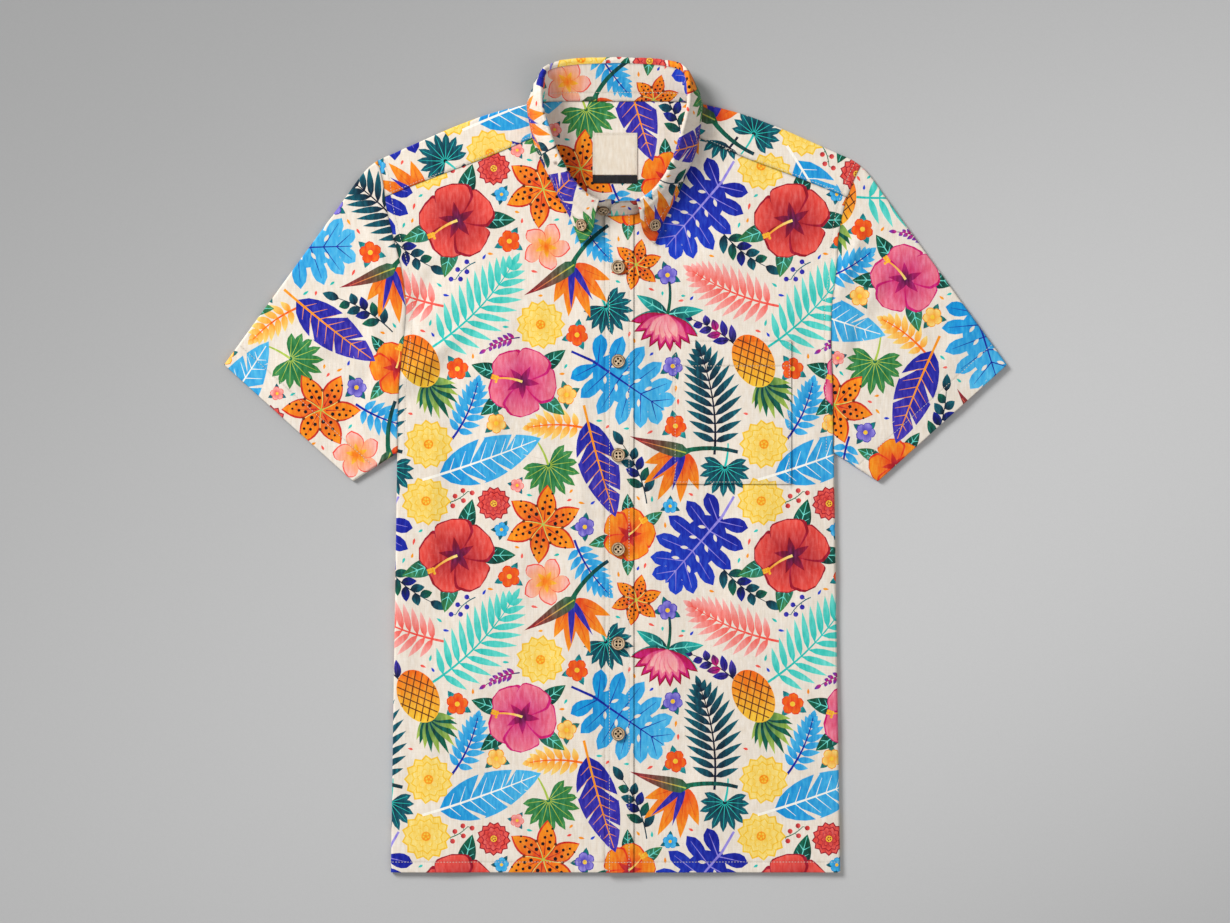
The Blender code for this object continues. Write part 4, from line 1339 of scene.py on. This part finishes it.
def make_fronts():
    (left, right), (low, high) = POCKET_X, POCKET_Y
    beside, *on_top = (
        tucked(straight(start, end), dark)
        for start, end, dark in (
            ((PLACKET_X[0], HEM_Y), (PLACKET_X[0], PLACKET_TOP), 0.5),
            ((PLACKET_X[1], HEM_Y), (PLACKET_X[1], PLACKET_TOP), 0.5),
            ((left, low), (left, high), 0.3),
            ((right, low), (right, high), 0.4),
            ((left, low), (right, low), 0.4),
            ((left, high), (right, high), 0.3),
        )
    )
    for side, name, inner, face, under, more in (
        (-1, "front_right", -RIGHT_FRONT_EDGE_X, right_body_face, "back_cloth", [beside]),
        (1, "front_left", PLACKET_X[0], left_body_face, "front_right_cloth", on_top),
    ):
        rolls = [(both(side_line(), side), side_radius)]
        panel = Sheet(front_outline(side, inner), face, (*front_details(side), *more), rolls)
        cloth_piece(name, [panel])


def make_back():
    halves, details = [], []
    hem = straight((0, HEM_Y), (HALF_HEM + 2, HEM_Y))
    for side in (1, -1):
        hole = armhole_line(UNDERARM_Y + 0.3, BACK_SEAM_Y - JOIN, side)
        hem_edge, top_edge = straight((0, HEM_Y), side_cloth()[0]), straight(hole[-1], (0, hole[-1, 1]))
        halves.append(both(joined((hem_edge, side_cloth(), hole, top_edge)), side))
        yoke_seam = seam(straight((armhole_x(BACK_SEAM_Y, side), BACK_SEAM_Y), (0, BACK_SEAM_Y)), 0.4)
        details += on_side((*armhole_details(hole), *hem_details(hem, HEM_STITCH, 14), yoke_seam), side)
    rolls = [(both(side_line(), side), side_radius) for side in (1, -1)]
    panel = Sheet(joined(halves), back_face, details, rolls, under=True, shift=BACK_PRINT_SHIFT)
    panel.bare_inside = True
    cloth_piece("back", [panel])


def band_piece(name, edges, sewn, inset, more):
    """Doubled cloth on the left front. Some of its edges are sewn this far in, and it has more details."""
    details = [soft_edge(edge) for edge in edges]
    details += [groove(offset(edges[k], inset)) for k in sewn]
    sheet = Sheet(joined(edges), band_face, details + more, wall=BAND_WALL)
    cloth_piece(name, [sheet])


def make_placket():
    left, right = PLACKET_X
    left_top, right_top = ((x, float(front_top(np.array(x), 1)) - PLACKET_SHORT) for x in PLACKET_X)
    edges = edges_of([(left, HEM_Y), (right, HEM_Y), right_top, left_top])
    band_piece("placket", edges, (1, 3), BAND_STITCH, [groove(offset(edges[0], HEM_STITCH))])


def make_pocket():
    (left, right), (low, high) = POCKET_X, POCKET_Y
    edges = edges_of([(left, low), (right, low), (right, high), (left, high)])
    hem = offset(edges[2], POCKET_HEM)
    band_piece("pocket", edges, (0, 1, 3), PATCH_STITCH, [doubled(hem, 0.25), groove(hem)])


def yoke_shoulder(low, side):
    """The armhole from here up, the shoulder's fold, and the edge of the cloth that rolls over it."""
    high = crossing(shoulder_y, side)
    fold = curve_line(shoulder_y, armhole_x(high, side), YOKE_NECK[0])
    return armhole_line(low, high, side), fold, offset(fold, -SPREAD * EDGE_RADIUS)


def yoke_front(side):
    low = crossing(seam_y, side)
    hole, fold, edge = yoke_shoulder(low, side)
    seam_edge = curve_line(seam_y, YOKE_NECK[1], armhole_x(low, side))
    parts = (seam_edge + (0, JOIN), hole, edge, straight(edge[-1], seam_edge[0]))
    details = (
        seam(seam_edge, 0.2),
        groove(offset(seam_edge, SEAM_STITCH), 0.15),
        doubled(offset(seam_edge, YOKE_ALLOWANCE), 0.2, 12),
        *armhole_details(hole),
    )
    rolls = [(both(fold, side), fold_radius)]
    face = left_front_face if side > 0 else front_face
    sheet = Sheet(both(joined(parts), side), face, on_side(details, side), rolls, shift=YOKE_PRINT_SHIFT)
    mirror = both(offset(curve_line(shoulder_y, *YOKE_MIRROR), -SPREAD * EDGE_RADIUS), side)
    return sheet.mirror_print(mirror[0], mirror[-1])


def make_yoke():
    halves, rolls, details = [], [], []
    for side in (1, -1):
        low = BACK_SEAM_Y + JOIN
        hole, fold, edge = yoke_shoulder(low, side)
        side_y, middle_y = YOKE_NECK_Y
        corner = (YOKE_NECK_CORNER * YOKE_NECK[0], middle_y)
        neck = np.vstack((straight((YOKE_NECK[0], side_y), corner)[:-1], straight(corner, (0, middle_y))))
        seam_edge = straight((0, low), (hole[0, 0], low))
        halves.append(both(joined((seam_edge, hole, edge, neck)), side))
        rolls.append((both(fold, side), fold_radius))
        sewing = seam(seam_edge, 0.3), groove(offset(seam_edge, SEAM_STITCH), 0.15), seam(hole, 0.3)
        details += on_side(sewing, side)
    back = Sheet(joined(halves), back_face, details, rolls, under=True, wall=CLOTH, shift=YOKE_PRINT_SHIFT)
    cloth_piece("yoke", [back, yoke_front(1), yoke_front(-1)])


def make_sleeve(name, side):
    high = crossing(shoulder_y, side)
    foot_y = UNDERARM_Y + 0.9
    foot = (armhole_x(foot_y, side) + JOIN, foot_y)
    under_arm = offset(straight(foot, SLEEVE_HEM_END), -FACE)
    upper_fold = curve_line(shoulder_y, SLEEVE_TIP[0] + 0.3, armhole_x(high, side) + JOIN)
    low_edge, high_edge = (offset(line, -SPREAD * EDGE_RADIUS) for line in (under_arm, upper_fold))
    cuff = straight(low_edge[-1], high_edge[0])
    hole = armhole_line(high, foot_y, side, JOIN)
    outline = both(joined((low_edge, cuff, high_edge, hole)), side)
    details = (*hem_details(cuff, CUFF_STITCH), seam(hole, 0.35))
    rolls = [(both(line, side), fold_radius) for line in (under_arm, upper_fold)]
    turn, shift = SLEEVE_PRINT[side]
    upper, lower = (
        Sheet(outline, face, on_side(details, side), rolls, under, turn=turn, shift=shift)
        for face, under in ((sleeve_face, False), (back_face, True))
    )
    mirror = both(offset(curve_line(shoulder_y, *SLEEVE_MIRROR), SPREAD * EDGE_RADIUS), side)
    lower.mirror_print(mirror[0], mirror[-1])
    along_cuff = np.subtract(SLEEVE_TIP, SLEEVE_HEM_END) * (side, 1)
    grain = math.atan2(along_cuff[1], along_cuff[0]) - math.pi / 2
    cloth_piece(name, [upper, lower], grain=grain)


# ---------------------------------------------------------------- collar


class CollarSheet(Sheet):
    """A sheet along the neck. Its points are lengths round the neck and across the sheet."""

    def __init__(self, span, low, high, points_at, rows, details_of, shift):
        self.span, self.points_at, self.rows = span, points_at, rows
        self.tables = {side: self.lengths(side) for side in (1, -1)}
        super().__init__(joined(collar_outline(self, low, high)), None, wall=CLOTH, shift=shift)
        self.details = details_of(self)
        self.spacing = COLLAR_GRID

    def lengths(self, side):
        """Stations and the length from the centre back to each."""
        at = np.linspace(0, self.span, 260)
        lines = self.rows(at, side)
        step = sum(share * np.linalg.norm(np.diff(line, axis=0), axis=1) for share, line in lines)
        return at, np.concatenate(([0], np.cumsum(step)))

    def station(self, length, side):
        at, lengths = self.tables[side]
        return np.interp(length, lengths, at)

    def middle(self, points):
        spot = np.zeros((len(points), 3))
        for side in (1, -1):
            mine = (points[:, 0] >= 0) == (side > 0)
            if mine.any():
                at = self.station(np.abs(points[mine, 0]), side)
                spot[mine] = self.points_at(at, points[mine, 1], side)
        return spot

    def bare_normals(self, points, step=0.4):
        along = self.middle(points + (step, 0)) - self.middle(points - (step, 0))
        across = self.middle(points + (0, step)) - self.middle(points - (0, step))
        return unit(np.cross(along, across))

    def place(self, points):
        return self.middle(points) + self.bare_normals(points) * (FACE + self.relief(points))[:, None]

def collar_outline(sheet, low, high):
    """Round a sheet from its seam, which is at low, to its upper edge."""
    halves = []
    for side in (1, -1):
        top = half_top_line(sheet, high, side)
        bottom = straight((0, low), (top[0, 0], low), 4)
        halves.append(both(np.vstack((bottom, straight(bottom[-1], top[0], 3), top)), side))
    return halves


def half_top_line(sheet, high, side, inset=0.0, ends=0.0):
    u = spaced(sheet.tables[side][1][-1] - ends, 0, 2.5)
    return np.column_stack((u, high(sheet.station(u, side), side) - inset))


def top_line(sheet, high, inset=0.0, ends=0.0):
    """The upper edge from the left end to the right one, or a line inside it."""
    left, right = (both(half_top_line(sheet, high, side, inset, ends), side) for side in (1, -1))
    return np.vstack((left, right[1:]))


def leaf_top(at, side):
    return sum(leaf_lengths(at, side))


def leaf_details(sheet):
    found = [soft_edge(top_line(sheet, leaf_top), 0.4)]
    sewn = top_line(sheet, leaf_top, LEAF_STITCH, LEAF_STITCH)
    low = 2.0 + ROLL_RADIUS * math.pi
    first_end = straight((sewn[0, 0], low), sewn[0])[:-1]
    last_end = straight(sewn[-1], (sewn[-1, 0], low))[1:]
    found.append(groove(np.vstack((first_end, sewn, last_end)), 0.25))
    for side, *ends, height, width in LEAF_CREASES:
        at = np.array(ends[::2])
        u = np.interp(at, *sheet.tables[side])
        start, end = np.column_stack((side * u, np.array(ends[1::2]) * leaf_top(at, side)))
        found.append(soft_fold(straight(start, end, 3), height, width))
    for side in (1, -1):
        end = sheet.tables[side][1][-1]
        high = float(leaf_top(np.array([LAST]), side)[0])
        found += on_side((soft_edge(straight((end, 0), (end, high), 3), 0.4),), side)
    return found


def stand_details(sheet):
    seam_edge = straight((-sheet.tables[-1][1][-1], -STAND_FOOT), (sheet.tables[1][1][-1], -STAND_FOOT), 4)
    return [
        seam(seam_edge, 0.25),
        groove(offset(seam_edge, STAND_FOOT + STAND_STITCH), 0.22),
        seam(top_line(sheet, stand_height), 0.2),
    ]


def stand_points(at, v, side):
    neck, roll = stand_line(at, side)
    return neck + unit(roll - neck) * v[:, None]


def stand_rows(at, side):
    neck, roll = stand_line(at, side)
    return ((0.3, neck), (0.7, roll))


def leaf_rows(at, side):
    _, roll, edge, _ = collar_station(at, side)
    return ((0.5, roll), (0.5, edge))


def make_collar():
    facts = stand_height, stand_points, stand_rows, stand_details, STAND_PRINT_SHIFT
    stand = CollarSheet(LAST + 1, -STAND_FOOT, *facts)
    leaf = CollarSheet(LAST, 0, leaf_top, leaf_points, leaf_rows, leaf_details, LEAF_PRINT_SHIFT)
    cloth_piece("collar_stand", [stand])
    cloth_piece("collar_leaf", [leaf])


# ---------------------------------------------------------------- label


LABEL_CREAM = (232, 221, 204)
STRIP_BLACK = (26, 25, 29)


def label_face(x, y):
    return back_face(x, y) + CLOTH + SEAM + LABEL_RISE


def patch(low, high, sewn, plain):
    left, right = LABEL_X
    edges = edges_of([(left, low), (right, low), (right, high), (left, high)], 3)
    details = [soft_edge(edge, 0.3, 0.8) for edge in edges]
    details += [groove(offset(edges[k], LABEL_STITCH), 0.12) for k in sewn]
    sheet = Sheet(joined(edges), label_face, details, wall=LABEL_WALL)
    sheet.plain, sheet.spacing = plain, LABEL_GRID
    return sheet


def make_label():
    label = patch(*LABEL_Y, (1, 2, 3), LABEL_CREAM)
    strip = patch(*STRIP_Y, (), STRIP_BLACK)
    cloth_piece("neck_label", [label], material=LABEL_CLOTH)
    cloth_piece("label_strip", [strip], material=STRIP_CLOTH)


# ---------------------------------------------------------------- pieces


def add_object(name, data):
    made = bpy.data.objects.new(name, data)
    bpy.context.scene.collection.objects.link(made)
    return made


def link(name, mesh, material):
    made = add_object(name, mesh)
    if material:
        mesh.materials.append(material)
    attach(made, "root")
    return made


def stitch_mesh(name, sheets):
    """Each stitch is a thread with pointed ends that lies along its line."""
    rows = [sheet.stitches() for sheet in sheets if any(row["sewn"] for row in sheet.details)]
    middle, way, up = (np.vstack([row[k] for row in rows]) for k in range(3))
    across = unit(np.cross(up, way))
    length, width, thick = STITCH
    ring = [(0.5, 0), (0, 0.5), (-0.5, 0), (0, -0.5)]
    shape = [(-0.5, 0, -0.1)]
    shape += [(x, y, z + 0.2) for x in (-0.28, 0.28) for y, z in ring]
    shape += [(0.5, 0, -0.1)]
    shape = np.array(shape) * (length, width, thick)
    faces = []
    for k in range(4):
        n = (k + 1) % 4
        faces += [(0, 1 + n, 1 + k), (1 + k, 1 + n, 5 + n), (1 + k, 5 + n, 5 + k), (9, 5 + k, 5 + n)]
    points = middle[:, None] + sum(
        shape[None, :, k, None] * axis[:, None] for k, axis in enumerate((way, across, up))
    )
    triangles = np.array(faces)[None] + (np.arange(len(middle)) * len(shape))[:, None, None]
    return mesh_of(name, points.reshape(-1, 3), triangles.reshape(-1, 3))


def cloth_piece(name, sheets, material=None, grain=0.0):
    """A sewn piece of one or more sheets, with its stitches, in place of the CAD node."""
    cloth = link(f"{name}_cloth", build_mesh(f"{name}_cloth", sheets), material or PRINTED_COTTON)
    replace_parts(cloth, name)
    if any(row["sewn"] for sheet in sheets for row in sheet.details):
        link(f"{name}_stitches", stitch_mesh(f"{name}_stitches", sheets), THREAD)
    spans = [np.ptp(turned(sheet.outline, -grain), axis=0) for sheet in sheets]
    width, length = np.max(spans, axis=0) * MM
    area = sum(sheet.area() for sheet in sheets)
    if grain:
        length *= len(sheets)
    elif area > width * length:
        length = 1.2 * area / width
    length = max(length, SHORTEST_CUT * MM)
    return cloth


# ---------------------------------------------------------------- buttons


def button_mesh(radius):
    """A four-hole button with a raised rim, standing on its origin, in metres."""
    profile = bmesh.new()
    spots = [profile.verts.new(Vector((r * radius, 0, z * radius)) * MM) for r, z in BUTTON_PROFILE]
    for one, two in zip(spots, spots[1:]):
        profile.edges.new((one, two))
    outline = bpy.data.meshes.new("turned")
    profile.to_mesh(outline)
    profile.free()
    turned_part = add_object("turned", outline)
    screw = turned_part.modifiers.new("Turn", "SCREW")
    screw.steps = screw.render_steps = BUTTON_STEPS
    screw.use_merge_vertices = True
    screw.merge_threshold = 0.00001
    screw.use_normal_calculate = True
    cutter = bmesh.new()
    hole = BUTTON_HOLE_RADIUS * radius * MM
    for x, y in ((-1, -1), (-1, 1), (1, -1), (1, 1)):
        spot = Vector((x * BUTTON_HOLE_OFFSET, y * BUTTON_HOLE_OFFSET, BUTTON_HOLE_FLOOR + 1)) * radius * MM
        bmesh.ops.create_cone(
            cutter,
            cap_ends=True,
            segments=14,
            radius1=hole,
            radius2=hole,
            depth=2 * radius * MM,
            matrix=Matrix.Translation(spot),
        )
    holes_mesh = bpy.data.meshes.new("holes")
    cutter.to_mesh(holes_mesh)
    cutter.free()
    outline.materials.append(COCONUT)
    holes_mesh.materials.append(HOLE)
    holes = add_object("holes", holes_mesh)
    cut_holes = turned_part.modifiers.new("Holes", "BOOLEAN")
    cut_holes.operation = "DIFFERENCE"
    cut_holes.solver = "EXACT"
    cut_holes.material_mode = "TRANSFER"
    cut_holes.object = holes
    evaluated = turned_part.evaluated_get(bpy.context.evaluated_depsgraph_get())
    mesh = bpy.data.meshes.new_from_object(evaluated)
    bpy.data.objects.remove(turned_part)
    bpy.data.objects.remove(holes)
    return mesh


def make_button(name, mesh, radius):
    """A button in the place and at the tilt of the CAD node, which is flat across its axis."""
    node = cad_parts[name]
    spots = np.array([vertex.co for vertex in node.data.vertices])
    centre = (spots.min(0) + spots.max(0)) / 2
    axis = np.linalg.svd(spots - spots.mean(0), full_matrices=False)[2][2]
    axis = axis * np.sign(axis[2])
    foot = (spots @ axis).min()
    base = centre + axis * (foot - centre @ axis)
    own = mesh.copy()
    own.name = name
    turn = Vector((0, 0, 1)).rotation_difference(Vector(axis)).to_matrix().to_4x4()
    local = np.array([vertex.co for vertex in own.vertices])
    from_axis = np.linalg.norm(local[:, :2], axis=1) / (radius * MM)
    fill(own.attributes.new("part", "FLOAT", "POINT"), "value", from_axis)
    spin = Matrix.Rotation(0.5 + 1.7 * len(name) + 0.9 * centre[1] * 10, 4, "Z")
    own.transform(Matrix.Translation(Vector(base)) @ turn @ spin)
    own.shade_smooth()
    own.set_sharp_from_angle(angle=math.radians(40))
    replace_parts(link(f"{name}_shell", own, None), name)


def make_buttons():
    body, small = button_mesh(BUTTON_RADIUS), button_mesh(COLLAR_BUTTON_RADIUS)
    for number in range(1, BUTTONS + 1):
        make_button(f"button_{number}", body, BUTTON_RADIUS)
    for name in ("collar_button_right", "collar_button_left", "neck_button"):
        make_button(name, small, COLLAR_BUTTON_RADIUS)


# ---------------------------------------------------------------- materials


class Surface:
    """A material's nodes. add() takes numbers, colours and other nodes' outputs as inputs."""

    def __init__(self, name, roughness, **constants):
        self.material = bpy.data.materials.new(name)
        self.material.use_nodes = True
        self.tree = self.material.node_tree
        self.shader = self.tree.nodes["Principled BSDF"]
        self.shader.inputs["Roughness"].default_value = roughness
        for key, value in constants.items():
            self.shader.inputs[key.replace("_", " ")].default_value = value

    def add(self, kind, inputs=(), **settings):
        node = self.tree.nodes.new(kind)
        for key, value in settings.items():
            setattr(node, key, value)
        for key, value in dict(inputs).items():
            self.set(node.inputs[key], value)
        return node

    def set(self, socket, value):
        if isinstance(value, bpy.types.NodeSocket):
            self.tree.links.new(value, socket)
        else:
            socket.default_value = value

    def attribute(self, name, output="Vector"):
        return self.add("ShaderNodeAttribute", attribute_name=name).outputs[output]

    def noise(self, vector, scale, detail=2.0, stretch=(1, 1, 1), turn=0.0):
        mapping = {"Vector": vector, "Scale": stretch, "Rotation": (0, 0, turn)}
        spot = self.add("ShaderNodeMapping", mapping).outputs[0]
        inputs = {"Vector": spot, "Scale": scale, "Detail": detail}
        return self.add("ShaderNodeTexNoise", inputs).outputs["Fac"]

    def spread(self, value, low, high, start=0.3, end=0.7):
        """The value, moved from start and end to low and high."""
        inputs = {"Value": value, "From Min": start, "From Max": end, "To Min": low, "To Max": high}
        return self.add("ShaderNodeMapRange", inputs).outputs[0]

    def maths(self, operation, one, two):
        return self.add("ShaderNodeMath", {0: one, 1: two}, operation=operation).outputs[0]

    def plus(self, one, two):
        return self.maths("ADD", one, two)

    def times(self, one, two):
        return self.maths("MULTIPLY", one, two)

    def ramp(self, value, stops):
        node = self.add("ShaderNodeValToRGB", {"Fac": value})
        elements = node.color_ramp.elements
        while len(elements) < len(stops):
            elements.new(0.5)
        for element, (place, colour) in zip(elements, stops):
            element.position = place
            element.color = (*colour, 1)
        return node.outputs["Color"]

    def finish(self, colour, height=None, strength=0.3, distance=0.0003, roughness=None):
        self.set(self.shader.inputs["Base Color"], colour)
        if roughness is not None:
            self.set(self.shader.inputs["Roughness"], roughness)
        if height is not None:
            inputs = {"Height": height, "Strength": strength, "Distance": distance}
            self.set(self.shader.inputs["Normal"], self.add("ShaderNodeBump", inputs).outputs[0])
        return self.material


def woven(name, thread, slub, weave, roughness, **constants):
    """Cloth coloured by its print and the painted shade along its seams and edges, with so many threads a
    millimetre; slub and weave are their strengths.
    """
    surface = Surface(name, roughness, **constants)
    cloth = surface.attribute("cloth")
    # The print, with painted shade along seams, edges and cut rims.
    print_and_painted_shade = surface.attribute("print", "Color")
    warp = surface.noise(cloth, thread, 3.0, (1.0, 0.045, 1))
    weft = surface.noise(cloth, thread * 1.2, 3.0, (0.06, 1.0, 1))
    brush = surface.noise(cloth, 0.34, 4.0, (1.0, 0.28, 1), 0.6)
    wash = surface.noise(cloth, 0.035, 3.0)
    threads = surface.plus(surface.spread(warp, -slub, slub), surface.spread(weft, -slub * 0.7, slub * 0.7))
    shade = surface.plus(surface.plus(threads, surface.spread(wash, -0.02, 0.02)), 1.0)
    print_and_painted_shade = surface.add("ShaderNodeGamma", {"Color": print_and_painted_shade, "Gamma": surface.spread(brush, 0.86, 1.4)}).outputs[0]
    fine = surface.noise(cloth, thread * 2.4, 1.0, (1.0, 0.25, 1))
    cross = surface.noise(cloth, thread * 2.4, 1.0, (0.25, 1.0, 1))
    height = surface.plus(surface.plus(fine, cross), surface.plus(warp, weft))
    shaded = surface.add("ShaderNodeVectorMath", {0: print_and_painted_shade, "Scale": shade}, operation="SCALE").outputs[0]
    return surface.finish(shaded, height, weave, 0.00025)


def thread_surface():
    surface = Surface("thread", 0.75, Sheen_Weight=0.2)
    where = surface.add("ShaderNodeTexCoord").outputs["Object"]
    twist = surface.noise(where, 2600, 1.0)
    colour = surface.ramp(twist, ((0.3, linear((212, 200, 182))), (0.7, linear((240, 232, 216)))))
    return surface.finish(colour, twist, 0.4, 0.0001)


def coconut():
    surface = Surface("coconut", 0.5, Coat_Weight=0.08, Coat_Roughness=0.4)
    where = surface.add("ShaderNodeTexCoord").outputs["Object"]
    part = surface.attribute("part", "Fac")
    grain = surface.noise(where, 420, 4.0, (1, 0.35, 1), 0.4)
    specks = surface.noise(where, 1500, 2.0)
    mottle = surface.plus(surface.times(grain, 0.75), surface.times(specks, 0.25))
    shades = (
        (0.32, (0.2, 0.11, 0.05)),
        (0.43, (0.46, 0.31, 0.17)),
        (0.53, (0.6, 0.43, 0.26)),
        (0.66, (0.74, 0.58, 0.39)),
    )
    shell = surface.ramp(mottle, shades)
    # Painted shade: dark in the groove inside the rim and on the outer wall, where the button meets the
    # cloth, with the rim's crest a little lighter.
    painted_rim_shade = (
        (0.0, (1, 1, 1)),
        (0.6, (1, 1, 1)),
        (0.66, (0.2, 0.16, 0.13)),
        (0.73, (0.3, 0.25, 0.2)),
        (0.79, (1.1, 1.07, 1.03)),
        (0.89, (0.92, 0.88, 0.82)),
        (0.95, (0.22, 0.17, 0.13)),
    )
    broken = surface.plus(part, surface.spread(surface.noise(where, 260, 2.0), -0.035, 0.035))
    ring = surface.ramp(broken, painted_rim_shade)
    colour = surface.add("ShaderNodeVectorMath", {0: shell, 1: ring}, operation="MULTIPLY").outputs[0]
    return surface.finish(colour, mottle, 0.35, 0.0002, surface.spread(grain, 0.42, 0.62))


def dark_hole():
    """The inside of a button's holes, where little light reaches."""
    surface = Surface("button_hole", 0.9, Specular_IOR_Level=0.1)
    where = surface.add("ShaderNodeTexCoord").outputs["Object"]
    grain = surface.noise(where, 1500, 2.0)
    shades = ((0.3, (0.008, 0.005, 0.003)), (0.7, (0.03, 0.018, 0.01)))
    return surface.finish(surface.ramp(grain, shades), grain)


PRINTED_COTTON = woven("printed_cotton", 1.0, 0.05, 0.32, 0.86, Sheen_Weight=0.08, Specular_IOR_Level=0.25)
LABEL_CLOTH = woven("label_cloth", 2.2, 0.04, 0.3, 0.8, Sheen_Weight=0.1, Specular_IOR_Level=0.3)
STRIP_CLOTH = woven("label_strip_cloth", 2.2, 0.12, 0.4, 0.7, Sheen_Weight=0.15, Specular_IOR_Level=0.3)
THREAD = thread_surface()
COCONUT = coconut()
HOLE = dark_hole()


# ---------------------------------------------------------------- surroundings


GROUND_TONES = (0.247, 0.608)  # of the ground far off and in the pool of light, linear
GROUND_FAR = 0.3  # how much paler it is outside the picture
GROUND_Z = -0.00045  # just under the hems, which are double
GROUND_HALF = 4.0  # half its width
GROUND_POOL = ((0.52, -0.02), (1.57, 0.70), 23.4)  # its centre, its reach along and across, its turn
FRAME = (1230 * 0.962, 923 * 0.962)  # what the picture takes in
FRAME_CENTRE = (-0.5, 3.4)
CAMERA_HEIGHT = 3200.0
SENSOR = 36.0
KEY_LIGHT = ((-3.0, 2.5, 2.8), 1.9, 226.0)  # place, size, power
FILL_LIGHT = ((3.0, -2.0, 3.6), 3.0, 34.0)
SKY = 0.375


def make_ground():
    surface = Surface("ground", 0.95, Specular_IOR_Level=0.1)
    where = surface.add("ShaderNodeTexCoord").outputs["Object"]
    grain = surface.noise(where, 900, 2.0)
    centre, reach, turn = GROUND_POOL
    inputs = {"Vector": where, "Location": (*centre, 0), "Scale": (*reach, 1)}
    inputs["Rotation"] = (0, 0, math.radians(turn))
    pool = surface.add("ShaderNodeMapping", inputs, vector_type="TEXTURE").outputs[0]
    off = surface.add("ShaderNodeVectorMath", {0: pool}, operation="LENGTH").outputs["Value"]
    bright = surface.maths("POWER", math.e, surface.times(surface.times(off, off), -1.0))
    distance = surface.add("ShaderNodeVectorMath", {0: where}, operation="LENGTH").outputs["Value"]
    far = surface.spread(distance, 0.0, GROUND_FAR, 0.9, 2.6)
    tone = surface.plus(surface.spread(bright, *GROUND_TONES, 0.0, 1.0), far)
    speckled = surface.times(tone, surface.spread(grain, 0.985, 1.015))
    surface.finish(speckled, grain, 0.1, 0.0001)
    plane = bmesh.new()
    below = Matrix.Translation((0, 0, GROUND_Z))
    bmesh.ops.create_grid(plane, x_segments=8, y_segments=8, size=GROUND_HALF, matrix=below)
    mesh = bpy.data.meshes.new("ground")
    plane.to_mesh(mesh)
    plane.free()
    mesh.materials.append(surface.material)
    add_object("ground", mesh)


def make_lights():
    for name, (place, size, power) in (("key", KEY_LIGHT), ("fill", FILL_LIGHT)):
        light = bpy.data.lights.new(name, "AREA")
        light.shape = "DISK"
        light.size = size
        light.energy = power
        lamp = add_object(name, light)
        lamp.location = place
        lamp.rotation_mode = "QUATERNION"
        lamp.rotation_quaternion = (-Vector(place)).to_track_quat("-Z", "Y")
    world = bpy.data.worlds.new("sky")
    world.use_nodes = True
    world.node_tree.nodes["Background"].inputs["Color"].default_value = (1, 1, 1, 1)
    world.node_tree.nodes["Background"].inputs["Strength"].default_value = SKY
    bpy.context.scene.world = world


def make_camera():
    lens = bpy.data.cameras.new("camera")
    lens.sensor_width = SENSOR
    lens.lens = SENSOR * CAMERA_HEIGHT / FRAME[0]
    lens.clip_end = 50
    camera = add_object("camera", lens)
    camera.location = Vector((*FRAME_CENTRE, CAMERA_HEIGHT)) * MM
    bpy.context.scene.camera = camera
    bpy.context.scene.view_settings.view_transform = "Standard"


make_ground()
make_lights()
make_camera()
make_back()
make_fronts()
make_placket()
make_pocket()
make_yoke()
make_sleeve("sleeve_right", -1)
make_sleeve("sleeve_left", 1)
make_collar()
make_label()
make_buttons()
